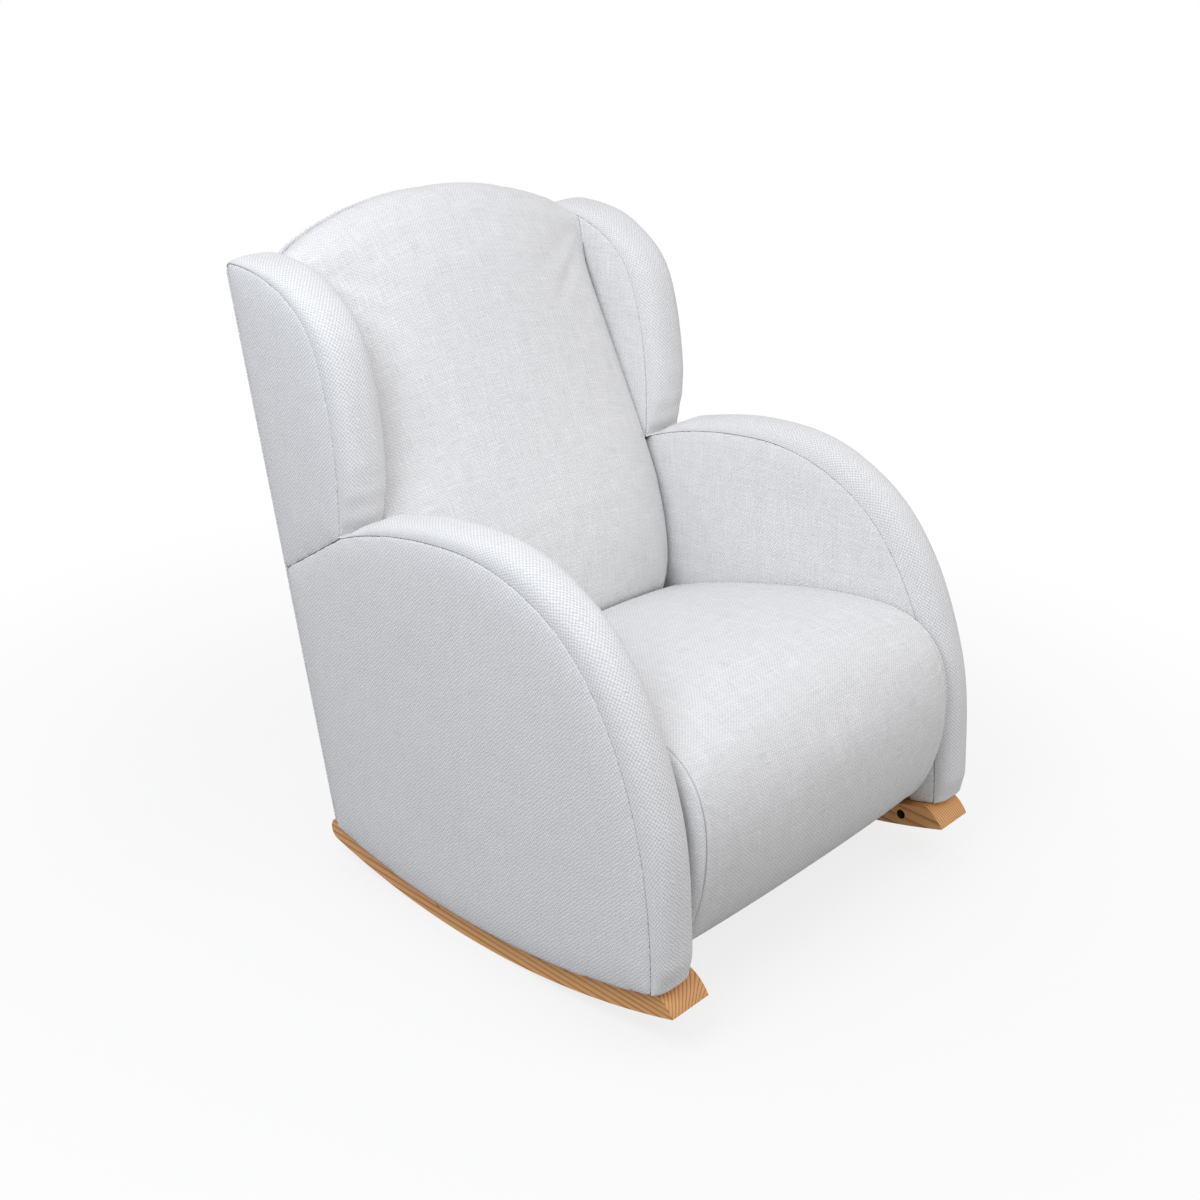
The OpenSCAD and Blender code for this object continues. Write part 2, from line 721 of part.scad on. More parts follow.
module bottom_cover() {
    rear_y = back_y(rail_foot_z, rail_w + strap_t);
    color(lining_color) side(1) translate([soft_gap - arm_in, tuck_y + soft_gap, rail_foot_z - cloth_t])
        cube([2 * (arm_in - soft_gap), rear_y - tuck_y - soft_gap, cloth_t]);
}

// A side panel with its outline in Y and Z, cut to the rocker's top
module side_panel(x, t, outline, w) {
    intersection() {
        slab(x, t, outline);
        disc(side_foot_r, x, t);
        ahead_of(w);
    }
}
module arm_outer_panel(s) {
    color(fabric_color) side(s) side_panel(board_x, panel_t, arm_area, board_w);
}
module wing_outer_panel(s) {
    color(fabric_color) side(s) side_panel(board_x, panel_t, wing_area, board_w);
}
module arm_inner_panel(s) {
    y = -front_rail_y - soft_gap;
    z = rail_foot_z - soft_gap;
    back = front_rail_t + 2 * soft_gap;
    color(fabric_color) side(s) difference() {
        side_panel(arm_in, frame_in - arm_in, arm_area, inner_back_w);
        slab(0, chair_w, [[y, z], [y, deck_z(y) + soft_gap], [y + back, deck_z(y + back) + soft_gap],
            [y + back, z]]);
        slab(0, chair_w, [[y, deck_z(y) + soft_gap - side_rail_h], [y, deck_z(y) + soft_gap],
            [sky, deck_z(sky) + soft_gap], [sky, deck_z(sky) - side_rail_h - seat_rail_t]]);
    }
}
module wing_inner_panel(s) {
    color(fabric_color) side(s) side_panel(wing_in, frame_in - wing_in, wing_area, inner_back_w);
}

// A crowned band of the given width on a seam, with its crown looked up by share of the way along.
// Its first and last rings lie start and stop inside the seam's ends.
module band(seam, x, width, crowns, start, stop) {
    last = len(seam) - 1;
    skin([for (i = [0:last]) let (n = outward(seam, i), c = lookup(i / last, crowns),
        p = seam[i] + along(seam, i) * (i == 0 ? start : i == last ? -stop : 0))
        [for (j = [0:band_steps]) let (u = (1 - cos(180 * j / band_steps)) / 2,
            h = c * pow(1 - pow(abs(2 * u - 1), band_power), 1 / band_power))
            [x + width * (1 - u), p[0] + n[0] * h, p[1] + n[1] * h]]]);
}
module arm_band(s) {
    color(fabric_color) side(s) band(arm_curve, arm_in, arm_w, arm_crowns, 0, band_trim / 3);
}
module wing_band(s) {
    color(fabric_color) side(s) band(wing_curve, wing_in, wing_w,
        [[0, band_edge], [0.07, wing_crown_front * 0.5], [0.14, wing_crown_front * 0.85],
        [0.22, wing_crown_front], [0.5, wing_crown_front], [0.72, wing_crown_top], [1, wing_crown_rear]],
        band_trim, 0);
}

// Seat cushion: rings across the chair, each a side outline with its crown
function seat_lift(x, i) = let (u = abs(x) / seat_half, last = len(seat_curve) - 1,
    c = lookup(i / last, [[0, roll_crown / 3], [0.1, roll_crown], [0.4, roll_crown], [0.65, seat_crown],
        [1, seat_crown]]))
    u <= 1 ? c * (1 - pow(u, crown_power)) : -end_fall * min(1, i / 3, (last - i) / 3);
// Moves a point forward until it is clear of the back cushion's front
function clear_of_back(x, p) = let (v = lean_height(p),
    need = lookup(v, back_belly_by_v) + back_lift(x, v, crest(x)) + soft_gap - lean_depth(p))
    v < cushion_foot_v ? p : [p[0] - max(0, need) / cos(back_lean), p[1]];
function seat_heel(x) = lean_point(back_belly[0][0] + back_lift(x, cushion_foot_v, crest(x)) + soft_gap,
    cushion_foot_v - soft_gap);
function seat_ring(x) = [for (p = concat(
    [for (i = [0:len(seat_curve) - 1])
        clear_of_back(x, seat_curve[i] + outward(seat_curve, i) * seat_lift(x, i))],
    [seat_heel(x), [seat_tuck_y, seat_tuck_z], [seat_end_y, seat_tuck_z],
        [seat_end_y, deck_z(seat_end_y) + deck_rise], [front_face, deck_z(front_face) + deck_rise],
        [front_face, rail_foot_z - soft_gap], [tuck_y, rail_foot_z - soft_gap],
        [tuck_y, roll_foot_z + soft_gap]]))
    [x, p[0], p[1]]];
// The foam block within the cover, and with grow the hollow that it fills
function seat_block(grow) = concat(
    [for (i = [4:len(seat_curve) - 2]) seat_curve[i] - outward(seat_curve, i) * cover_t],
    [[seat_end_y - cover_t, seat_tuck_z - cover_t],
        [seat_end_y - cover_t, deck_z(seat_end_y - cover_t) + deck_rise - grow],
        [front_face + grow, deck_z(front_face + grow) + deck_rise - grow], [front_face + grow, block_foot_z]],
    grow > 0 ? [[front_face, block_foot_z]] : []);
module seat_foam() {
    color(foam_color) side(1) slab(cover_t - seat_half, 2 * (seat_half - cover_t), seat_block(0));
}
module seat_cushion() {
    xs = [for (u = seat_share) u * seat_half];
    color(fabric_color) side(1) difference() {
        skin([for (x = concat([xs[0] - end_swell], xs, [end_swell - xs[0]])) seat_ring(x)]);
        slab(cover_t - seat_half, 2 * (seat_half - cover_t), seat_block(cut_over));
    }
}

// Back cushion: rings across the chair, each with depth and height along the lean
belly_foot = [lumbar_w - lumbar_drop, cushion_foot_v];
belly_top = [lumbar_w, lumbar_v];
back_belly = curve(belly_foot, belly_foot + belly_foot_pull, belly_top + belly_top_pull, belly_top, 5);
back_belly_by_v = [for (q = back_belly) [q[1], q[0]]];
function back_front(top) = let (lumbar = belly_top, shoulder = [shoulder_w, top - shoulder_dip],
    peak = [crest_w, top], edge = [board_w + soft_gap, top - crest_round])
    concat(back_belly, onward(lumbar, lumbar + lumbar_pull, shoulder + shoulder_low_pull, shoulder, 8),
    onward(shoulder, shoulder + shoulder_high_pull, peak + peak_pull, peak, 4),
    onward(peak, peak + peak_rear_pull, edge + edge_pull, edge, 3));
function draw_share(x) = max(0, (abs(x) / back_half - draw_from) / (1 - draw_from));
function back_lift(x, v, top) = min(1, (top - v) / fade_h)
    * (back_crown * (1 - pow(abs(x) / back_half, crown_power)) - back_draw * pow(draw_share(x), 2));
function back_ring(x) = let (top = crest(x) - corner_dip * pow(draw_share(x), 2),
    base = rail_top(x) + soft_gap, rear = board_w + soft_gap)
    [for (p = concat([for (q = back_front(top)) [max(q[0] + back_lift(x, q[1], top), rear), q[1]]],
        [[rear, base], [foam_w, base], [foam_w, cushion_foot_v]])) [x, -p[0], p[1]]];
function back_block(grow) = let (front = [for (q = back_front(crest(back_half)))
        if (q[1] > cushion_foot_v + cover_t && q[1] < crest(back_half) - 3 * cover_t) [cover_t - q[0], q[1]]])
    concat([[grow - foam_w, front[0][1]]], front, [[grow - foam_w, front[len(front) - 1][1]]]);
module back_foam() {
    color(foam_color) side(1) leaned()
        slab(cover_t - back_half, 2 * (back_half - cover_t), back_block(0));
}
module back_cushion() {
    color(fabric_color) side(1) leaned() difference() {
        skin([for (x = ring_x) back_ring(x)]);
        slab(cover_t - back_half, 2 * (back_half - cover_t), back_block(cut_over));
    }
}

rocker(1);  // rocker_left
rocker(-1);  // rocker_right
rocker_bolts();
bolt_washers();
barrel_nuts();
rocker_dowels();
bottom_rail(1);  // bottom_rail_left
bottom_rail(-1);  // bottom_rail_right
arm_frame(1);  // arm_frame_left
arm_frame(-1);  // arm_frame_right
back_post(1);  // back_post_left
back_post(-1);  // back_post_right
wing_frame(1);  // wing_frame_left
wing_frame(-1);  // wing_frame_right
front_rail();
rear_rail();
seat_rail(1);  // seat_rail_left
seat_rail(-1);  // seat_rail_right
corner_blocks();
lower_back_rail();
lumbar_rail();
top_rail();
frame_screws();
seat_webbing();
back_webbing();
side_board(1);  // side_board_left
side_board(-1);  // side_board_right
back_board();
seat_foam();
back_foam();
arm_outer_panel(1);  // arm_outer_panel_left
arm_outer_panel(-1);  // arm_outer_panel_right
arm_inner_panel(1);  // arm_inner_panel_left
arm_inner_panel(-1);  // arm_inner_panel_right
arm_band(1);  // arm_band_left
arm_band(-1);  // arm_band_right
wing_outer_panel(1);  // wing_outer_panel_left
wing_outer_panel(-1);  // wing_outer_panel_right
wing_inner_panel(1);  // wing_inner_panel_left
wing_inner_panel(-1);  // wing_inner_panel_right
wing_band(1);  // wing_band_left
wing_band(-1);  // wing_band_right
seat_cushion();
back_cushion();
rear_panel();
bottom_cover();
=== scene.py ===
import math

import bmesh
import bpy
from mathutils import Matrix, Vector, noise


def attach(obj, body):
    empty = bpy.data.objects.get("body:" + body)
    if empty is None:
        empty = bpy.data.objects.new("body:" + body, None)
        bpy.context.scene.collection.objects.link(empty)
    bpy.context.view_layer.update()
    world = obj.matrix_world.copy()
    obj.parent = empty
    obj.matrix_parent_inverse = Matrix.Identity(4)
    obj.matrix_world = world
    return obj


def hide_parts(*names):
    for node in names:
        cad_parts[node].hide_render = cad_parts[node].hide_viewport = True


bl_info = {
    "name": "Nursing Rocking Chair",
    "version": (1, 0, 0),
    "blender": (4, 5, 0),
    "location": "3D View > Sidebar > Rocking Chair",
    "description": "Dresses the packed rocking chair with padded covers, pine rockers and a studio stage",
    "category": "Add Mesh",
}

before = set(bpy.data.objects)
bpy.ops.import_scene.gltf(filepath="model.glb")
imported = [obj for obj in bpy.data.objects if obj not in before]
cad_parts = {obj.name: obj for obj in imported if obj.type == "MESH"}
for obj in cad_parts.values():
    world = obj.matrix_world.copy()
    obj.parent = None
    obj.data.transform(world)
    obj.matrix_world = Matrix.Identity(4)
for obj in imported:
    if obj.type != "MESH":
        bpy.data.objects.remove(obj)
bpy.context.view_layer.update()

# Lengths are in metres. A piece is shaped as the chair stands level, with Y measured back from the line
# where the rockers touch the floor, and rest() then rolls it back to the way that the chair stands empty.
FLOOR_LINE_Y = -0.0592537
REST_TILT = math.radians(3)


def settings():
    return bpy.context.scene.rocking_chair


def rest():
    centre = settings().rocker_radius
    return (
        Matrix.Translation((0, FLOOR_LINE_Y, centre))
        @ Matrix.Rotation(-REST_TILT, 4, "X")
        @ Matrix.Translation((0, 0, -centre))
    )


# Sizes and colours


def length(name, default, description, low=0.0, high=2.0):
    return bpy.props.FloatProperty(
        name=name, description=description, default=default, min=low, max=high, unit="LENGTH", subtype="DISTANCE"
    )


def colour(name, default, description):
    return bpy.props.FloatVectorProperty(
        name=name, description=description, default=default, size=3, min=0.0, max=1.0, subtype="COLOR"
    )


class ChairSizes(bpy.types.PropertyGroup):
    """Sizes of the covers and rockers"""

    rocker_radius: length("Rocker radius", 1.208, "Radius of the rockers' underside")
    rocker_depth: length("Rocker depth", 0.036, "Depth of a rocker from its underside to its top")
    rocker_width: length("Rocker width", 0.0735, "Width of a rocker")
    rocker_inset: length("Rocker inset", 0.0125, "How far a rocker's outer face lies inside the cover")
    half_width: length("Half width", 0.3725, "Distance of the outer side covers from the middle")
    arm_width: length("Arm width", 0.071, "Width of an arm between its seams")
    arm_height: length("Arm height", 0.597, "Height of the arm's seam at its top")
    wing_width: length("Wing width", 0.081, "Width of a wing between its seams")
    wing_height: length("Wing height", 0.922, "Height of a wing's seam at its top")
    crest_height: length("Crest height", 1.013, "Height of the back's crest, along the lean")
    arch_rise: length("Arch rise", 0.066, "Rise of the crest from its ends to its middle")
    seat_height: length("Seat height", 0.394, "Height of the seat's end seams at their highest")
    seat_half: length("Seat half width", 0.286, "Distance of the seat's end seams from the middle")
    seat_crown: length("Seat crown", 0.016, "Crown of the seat's top before it swells")
    roll_crown: length("Roll crown", 0.008, "Crown of the seat's front roll before it swells")
    lumbar_depth: length("Lumbar depth", 0.176, "Depth of the back cushion at its fullest, from the rear face")
    back_crown: length("Back crown", 0.022, "Crown of the back cushion across its width before it swells")
    seam_round: length("Seam rounding", 0.0012, "Radius of a cover's edge where it turns into a seam")


class ChairFinishes(bpy.types.PropertyGroup):
    """Colours of the covers, the pine and the stage"""

    linen: colour("Linen", (0.872, 0.866, 0.866), "Off-white linen-look weave of the seat, back and inner sides")
    basket: colour("Basket weave", (0.865, 0.862, 0.872), "Off-white basket weave of the outer sides")
    pine: colour("Pine", (0.78, 0.405, 0.135), "Light wood of the rockers")
    grain: colour("Grain", (0.43, 0.155, 0.042), "Late wood in the rockers' grain")
    lining: colour("Lining", (0.55, 0.55, 0.53), "Lining under the seat")
    floor: colour("Floor", (0.86, 0.86, 0.86), "Studio floor and backdrop")


# Lines in the chair's side view


def yz(y, z):
    return Vector((y, z))


LEAN = math.radians(12.9)
ALONG_LEAN = yz(math.sin(LEAN), math.cos(LEAN))
AHEAD = yz(-math.cos(LEAN), math.sin(LEAN))
GAP = 0.0003

# The back's rear plane meets the floor at BACK_FOOT. The others are distances ahead of it.
BACK_FOOT = 0.301
REAR_COVER = 0.001
POST_FRONT = 0.067
INNER_PANEL_REAR = POST_FRONT + 0.004

# Places along Y, and the seat's deck, which falls to the rear from the front rail's top.
ARM_FRONT = -0.308
ROCKER_TIP, ROCKER_TOP_FRONT, ROCKER_REAR = -0.335, -0.304, 0.349
BORES = (-0.260, 0.260)
FRONT_RAIL, FRONT_RAIL_TOP = -0.262, 0.290
DECK_SLOPE = math.radians(12.2)

# The seams of the arm, the wing and the side meet at NOTCH. The side's seam runs on to the rear edge.
NOTCH = yz(0.281, 0.555)
SIDE_SEAM_REAR_HEIGHT = 0.477
SIDE_SEAM_LAP = 0.0010
SEAM_STEP = 0.007
WING_CORNER = 0.008

SIDES = ((1, "left"), (-1, "right"))


def evenly(a, b, steps):
    return [a + (b - a) * i / steps for i in range(steps + 1)]


def bezier(a, b, c, d, steps=24):
    return [
        a * (1 - t) ** 3 + b * 3 * t * (1 - t) ** 2 + c * 3 * t * t * (1 - t) + d * t**3
        for t in (i / steps for i in range(steps + 1))
    ]


def chain(*curves):
    return [*curves[0], *[p for curve in curves[1:] for p in curve[1:]]]


def distances(points):
    total, out = 0.0, [0.0]
    for a, b in zip(points, points[1:]):
        total += (b - a).length
        out.append(total)
    return out


def spread(points, count, *values):
    """Points evenly spaced along a line, and the values beside them, each interpolated."""
    along = distances(points)
    out, j = [], 0
    for i in range(count + 1):
        d = along[-1] * i / count
        while j < len(along) - 2 and along[j + 1] < d:
            j += 1
        t = min(1.0, max(0.0, (d - along[j]) / max(along[j + 1] - along[j], 1e-12)))
        out.append((points[j].lerp(points[j + 1], t), *[v[j] + (v[j + 1] - v[j]) * t for v in values]))
    return out


def outward(points, i):
    """Normal of a line at a point, where the solid lies to the right of travel."""
    d = points[min(i + 1, len(points) - 1)] - points[max(i - 1, 0)]
    return yz(-d.y, d.x).normalized()


def eased(table, x):
    """A value looked up in pairs, eased from each pair to the next."""
    for (xa, a), (xb, b) in zip(table, table[1:]):
        if x <= xb:
            t = max(0.0, (x - xa) / (xb - xa))
            return a + (b - a) * t * t * (3 - 2 * t)
    return table[-1][1]


def arc_z(y, radius):
    return settings().rocker_radius - math.sqrt(radius * radius - y * y)


def back_y(z, w):
    return BACK_FOOT + z * math.tan(LEAN) - w / math.cos(LEAN)


def lean_point(w, v):
    return yz(BACK_FOOT, 0) + ALONG_LEAN * v + AHEAD * w


def deck_z(y):
    return FRONT_RAIL_TOP - math.tan(DECK_SLOPE) * (y - FRONT_RAIL)


def side_foot():
    """Radius of the side covers' lower edge, just over the rockers."""
    return settings().rocker_radius - settings().rocker_depth - 0.0002


def arm_seam():
    s = settings()
    foot = yz(ARM_FRONT, arc_z(ARM_FRONT, side_foot()))
    shoulder = yz(-0.184, s.arm_height - 0.099)
    top = yz(0.045, s.arm_height)
    return chain(
        bezier(foot, foot + yz(0, 0.163), shoulder - yz(0.088, 0.103), shoulder),
        bezier(shoulder, shoulder + yz(0.049, 0.057), top - yz(0.090, 0), top),
        bezier(top, top + yz(0.075, 0), NOTCH - yz(0.076, -0.030), NOTCH),
    )


def wing_seam():
    shoulder = NOTCH + yz(0.037, 0.267)
    height = settings().wing_height
    corner = yz(back_y(height, REAR_COVER), height)
    ahead, below = corner - yz(WING_CORNER, 0), corner - ALONG_LEAN * WING_CORNER
    return chain(
        bezier(NOTCH, NOTCH + yz(-0.004, 0.085), shoulder - yz(0.035, 0.086), shoulder),
        bezier(shoulder, shoulder + yz(0.022, 0.054), ahead - yz(0.093, 0), ahead),
        bezier(ahead, ahead.lerp(corner, 0.6), below.lerp(corner, 0.6), below, 6),
    )


def seam_points(seam):
    """The points that a band and the covers beside it share, so that their edges meet."""
    return [p for (p,) in spread(seam, max(24, round(distances(seam)[-1] / SEAM_STEP)))]


def side_seam_end(w=REAR_COVER):
    """Where the side seam, from the notch to the rear edge, meets the plane at w."""
    end = yz(back_y(SIDE_SEAM_REAR_HEIGHT, REAR_COVER), SIDE_SEAM_REAR_HEIGHT)
    low, high = 0.0, 1.0
    for _ in range(40):
        t = (low + high) / 2
        p = NOTCH.lerp(end, t)
        low, high = (t, high) if p.x < back_y(p.y, w) else (low, t)
    return NOTCH.lerp(end, high)


def floor_arc(y_from, y_to, steps=40):
    return [yz(y, arc_z(y, side_foot())) for y in evenly(y_from, y_to, steps)]


def rear_foot_y(w):
    """Where the side covers' lower edge meets the plane at w."""
    y = BACK_FOOT
    for _ in range(20):
        y = back_y(arc_z(y, side_foot()), w)
    return y


# Making pieces


def shade_smooth(mesh):
    for face in mesh.polygons:
        face.use_smooth = True


def new_object(name, mesh_maker):
    """An object from a bmesh that mesh_maker fills, rolled back to the chair's rest."""
    bm = bmesh.new()
    uv = bm.loops.layers.uv.new("weave")
    mesh_maker(bm, uv)
    bmesh.ops.transform(bm, matrix=rest(), verts=bm.verts)
    mesh = bpy.data.meshes.new(name)
    bm.to_mesh(mesh)
    bm.free()
    shade_smooth(mesh)
    piece = bpy.data.objects.new(name, mesh)
    bpy.context.scene.collection.objects.link(piece)
    return piece


def finish_piece(piece, nodes, slot, material, thickness=0.0, smooth=1):
    """Gives a piece its thickness, smoothing and material, hangs it on the root body and hides the frame parts
    that it covers.
    """
    if thickness:
        shell = piece.modifiers.new("Thickness", "SOLIDIFY")
        shell.thickness = thickness
        shell.offset = -1
        shell.use_even_offset = False
    if smooth:
        smoothing = piece.modifiers.new("Smooth", "SUBSURF")
        smoothing.levels = smoothing.render_levels = smooth
    piece.data.materials.append(material)
    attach(piece, "root")
    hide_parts(*nodes)


def surface(bm, uv, columns, rows, place, lengths, **marks):
    """A grid whose points are moved to place(s, t), with a weave map in metres from lengths(s, t).

    Each mark is an attribute of its points, which is also worked out from s and t.
    """
    layers = {name: bm.verts.layers.float.new(name) for name in marks}
    made = bmesh.ops.create_grid(bm, x_segments=columns, y_segments=rows, size=1)
    shares = {v: ((v.co.x + 1) / 2, (v.co.y + 1) / 2) for v in made["verts"]}
    for v in made["verts"]:
        for name, mark in marks.items():
            v[layers[name]] = mark(*shares[v])
        for loop in v.link_loops:
            loop[uv].uv = lengths(*shares[v])
    for v, (s, t) in shares.items():
        v.co = place(s, t)


def close_ends(bm):
    """Closes the two open ends of a cushion with flat panels of small faces."""
    filled = bmesh.ops.holes_fill(bm, edges=[e for e in bm.edges if e.is_boundary], sides=0)
    bmesh.ops.triangulate(bm, faces=filled["faces"], ngon_method="BEAUTY")


SWELL_PRESSURE = 4
SWELL_FRAMES = 20
SWELL_CAP = 0.006


def puff(piece):
    """Swells a padded piece by cloth simulation. Its cloth stays where the attribute sewn is 1."""
    mesh, scene = piece.data, bpy.context.scene
    begin = [v.co.copy() for v in mesh.vertices]
    group = piece.vertex_groups.new(name="sewn")
    for i, item in enumerate(mesh.attributes["sewn"].data):
        group.add([i], item.value, "REPLACE")
    cloth = piece.modifiers.new("Cloth", "CLOTH")
    cloth.settings.use_pressure = True
    cloth.settings.uniform_pressure_force = SWELL_PRESSURE
    cloth.settings.vertex_group_mass = "sewn"
    cloth.settings.quality = 4
    cloth.settings.effector_weights.gravity = 0
    cloth.point_cache.frame_start, cloth.point_cache.frame_end = 1, SWELL_FRAMES
    for frame_number in range(1, SWELL_FRAMES + 1):
        scene.frame_set(frame_number)
    swollen = piece.evaluated_get(bpy.context.evaluated_depsgraph_get()).data
    moves = [b.co - a for a, b in zip(begin, swollen.vertices)]
    piece.modifiers.remove(cloth)
    piece.vertex_groups.remove(group)
    scene.frame_set(1)
    for v, a, move in zip(mesh.vertices, begin, moves):
        v.co = a + move * (SWELL_CAP * math.tanh(move.length / SWELL_CAP) / max(move.length, 1e-9))
    print("swelled", piece.name, round(max(m.length for m in moves) * 1000, 1), "mm before the cap")


# Bands over the arms and wings

BAND_COLUMNS = 22
LEAST_CROWN = 0.0008

# How high the bands are crowned, at shares of the way along their seams.
ARM_CROWNS = (
    *((0, 0.0144), (0.045, 0.024), (0.25, 0.035), (0.45, 0.038), (0.60, 0.034)),
    *((0.76, 0.024), (0.91, 0.018), (0.955, 0.0108), (1, 0.0006)),
)
WING_CROWNS = (
    *((0, 0.0006), (0.07, 0.015), (0.14, 0.0255), (0.22, 0.030)),
    *((0.5, 0.034), (0.72, 0.022), (0.95, 0.011), (1, 0.003)),
)


def band_section(width, crown, edge):
    """Points across a band as (distance from its outer seam, height), which dive into both seams."""
    r = min(edge, 0.7 * crown)
    dive = [(edge, -0.2 * r), (0.55 * edge, 0.02 * r), (0.18 * edge, 0.3 * r), (0.02 * edge, 0.8 * r)]
    top = []
    for i in range(1, BAND_COLUMNS):
        u = (1 - math.cos(math.pi * i / BAND_COLUMNS)) / 2
        top.append((u * width, crown * (1 - abs(2 * u - 1) ** 2.5) ** 0.4))
    top = [p for p in top if p[1] > 0.9 * r] or top
    return dive + top + [(width - x, h) for x, h in reversed(dive)]


def band(bm, uv, side, seam, width, crowns, trim):
    """A crowned band along a seam, closed at its start. Its ends lie trim inside the seam's ends."""
    s = settings()
    line = seam_points(seam)
    line.insert(1, line[0] + (line[1] - line[0]) * 0.15)
    rows = len(line) - 1
    along = distances(line)
    normals = [outward(line, max(1, i)) for i in range(len(line))]
    across = distances([yz(*p) for p in band_section(width, max(c for _, c in crowns), s.seam_round)])
    points = len(across) - 1

    def place(a, t):
        i = round(t * rows)
        crown = max(LEAST_CROWN, eased(crowns, along[i] / along[-1])) if i else LEAST_CROWN
        section = band_section(width, crown, s.seam_round)
        k = a * (len(section) - 1)
        j = min(len(section) - 2, int(k))
        x, h = [p + (q - p) * (k - j) for p, q in zip(section[j], section[j + 1])]
        ripple = noise.noise(Vector((side * 3 + x * 9, line[i].x * 8, line[i].y * 8)))
        h += 0.0007 * ripple * min(1, max(0, h - s.seam_round) / 0.008)
        p = line[i] + normals[i] * h
        if i == 0:
            p += (line[1] - line[0]).normalized() * trim[0]
        if i == rows:
            p -= (line[-1] - line[-2]).normalized() * trim[1]
        return Vector((side * (s.half_width - x), p.x, p.y))

    def weave(a, t):
        return across[round(a * points)], along[round(t * rows)]

    surface(bm, uv, points, rows, place, weave)
    if side > 0:
        bmesh.ops.reverse_faces(bm, faces=bm.faces)


def make_bands(part, seam, width, crowns, trim):
    for side, name in SIDES:
        piece = new_object(
            f"{part}_cover_{name}", lambda bm, uv, side=side: band(bm, uv, side, seam, width, crowns, trim)
        )
        finish_piece(piece, [f"{part}_{name}"], "cover_basket", MATERIALS["basket"], 0.004)


# Flat covers

# How a cover's edge rounds off into its seam: steps inwards and upwards, as shares of its radius.
EDGE_STEPS = ((0.12, 0.45), (0.16, 0.27), (0.24, 0.18), (0.48, 0.10))
COVER_WAVES = 0.0011


def refined(outline, cell):
    """The closed outline with points no further apart than cell, so that smoothing keeps its corners."""
    points = []
    for a, b in zip(outline, outline[1:] + outline[:1]):
        steps = max(1, math.ceil((b - a).length / cell))
        points += [a.lerp(b, i / steps) for i in range(steps)]
    return points


def away(p, a, b):
    """Distance of a point from the line between two others."""
    d = b - a
    t = max(0.0, min(1.0, (p - a).dot(d) / max(d.length_squared, 1e-12)))
    return (p - a - d * t).length


def outline_cover(bm, uv, outline, to_space, facing, round_edge, pillow, reach, cell, seed):
    """A cover with a flat outline, rounded into its seams and slightly pillowed.

    to_space(a, b, rise) places it, and facing is the way that it looks once placed.
    """
    outline = refined(outline, cell)
    verts = [bm.verts.new((p.x, p.y, 0)) for p in outline]
    face = bm.faces.new(verts)
    face.normal_update()
    if face.normal.z < 0:
        face.normal_flip()
    for width, rise in EDGE_STEPS:
        bmesh.ops.inset_region(bm, faces=[face], thickness=round_edge * width, depth=0, use_even_offset=True)
        for v in face.verts:
            v.co.z += round_edge * rise
    low = [min(p[k] for p in outline) for k in (0, 1)]
    high = [max(p[k] for p in outline) for k in (0, 1)]
    inside = [face]
    for k, axis in ((0, Vector((1, 0, 0))), (1, Vector((0, 1, 0)))):
        steps = int((high[k] - low[k]) / cell)
        for i in range(1, steps):
            at = low[k] + (high[k] - low[k]) * i / steps
            parts = {part for f in inside for part in (f, *f.edges, *f.verts)}
            made = bmesh.ops.bisect_plane(bm, geom=list(parts), dist=1e-6, plane_co=axis * at, plane_no=axis)
            inside = [g for g in made["geom"] if isinstance(g, bmesh.types.BMFace)]
    ring = [Vector((p.x, p.y)) for p in outline]
    pairs = list(zip(ring, ring[1:] + ring[:1]))
    for v in bm.verts:
        p = Vector((v.co.x, v.co.y))
        near = min(away(p, a, b) for a, b in pairs)
        swell = 1 - math.exp(-near / reach)
        broad = noise.noise(Vector((p.x * 7 + seed, p.y * 7, seed)))
        fine = noise.noise(Vector((p.x * 19 + seed, p.y * 19, 5 + seed)))
        v.co.z += pillow * swell + COVER_WAVES * (broad + 0.4 * fine) * swell
    for f in bm.faces:
        for loop in f.loops:
            loop[uv].uv = (loop.vert.co.x, loop.vert.co.y)
    for v in bm.verts:
        v.co = to_space(v.co.x, v.co.y, v.co.z - round_edge)
    bmesh.ops.recalc_face_normals(bm, faces=bm.faces)
    if sum(f.normal.dot(facing) * f.calc_area() for f in bm.faces) < 0:
        bmesh.ops.reverse_faces(bm, faces=bm.faces)


def side_cover(name, outline, side, x, facing, pillow, seed):
    """A cover in the plane of a side, facing outwards (1) or inwards (-1)."""

    def to_space(a, b, rise):
        return Vector((side * (x + facing * rise), a, b))

    def make(bm, uv):
        towards = Vector((side * facing, 0, 0))
        outline_cover(bm, uv, outline, to_space, towards, settings().seam_round, pillow, 0.018, 0.016, seed)

    return new_object(name, make)


def arm_outer_outline():
    rear = rear_foot_y(REAR_COVER)
    return [*seam_points(arm_seam()), side_seam_end(), *floor_arc(rear, ARM_FRONT)[:-1]]


def wing_outer_outline():
    """Its lower edge laps over the arm's cover, more towards the rear, so that their seam is shallow."""
    seam = seam_points(wing_seam())
    return [seam[0] - yz(0, SIDE_SEAM_LAP / 2), *seam[1:], side_seam_end() - yz(0, SIDE_SEAM_LAP)]


def arm_inner_outline():
    w, over_deck = INNER_PANEL_REAR, 0.001
    rear = side_seam_end(w)
    z = rear.y
    while z > deck_z(back_y(z, w)) + over_deck:
        z -= 0.0005
    front = FRONT_RAIL - 0.0006
    deck = [yz(back_y(z, w), z), yz(front, deck_z(front) + over_deck)]
    return [*seam_points(arm_seam()), rear, *deck, *floor_arc(front, ARM_FRONT, 6)[:-1]]


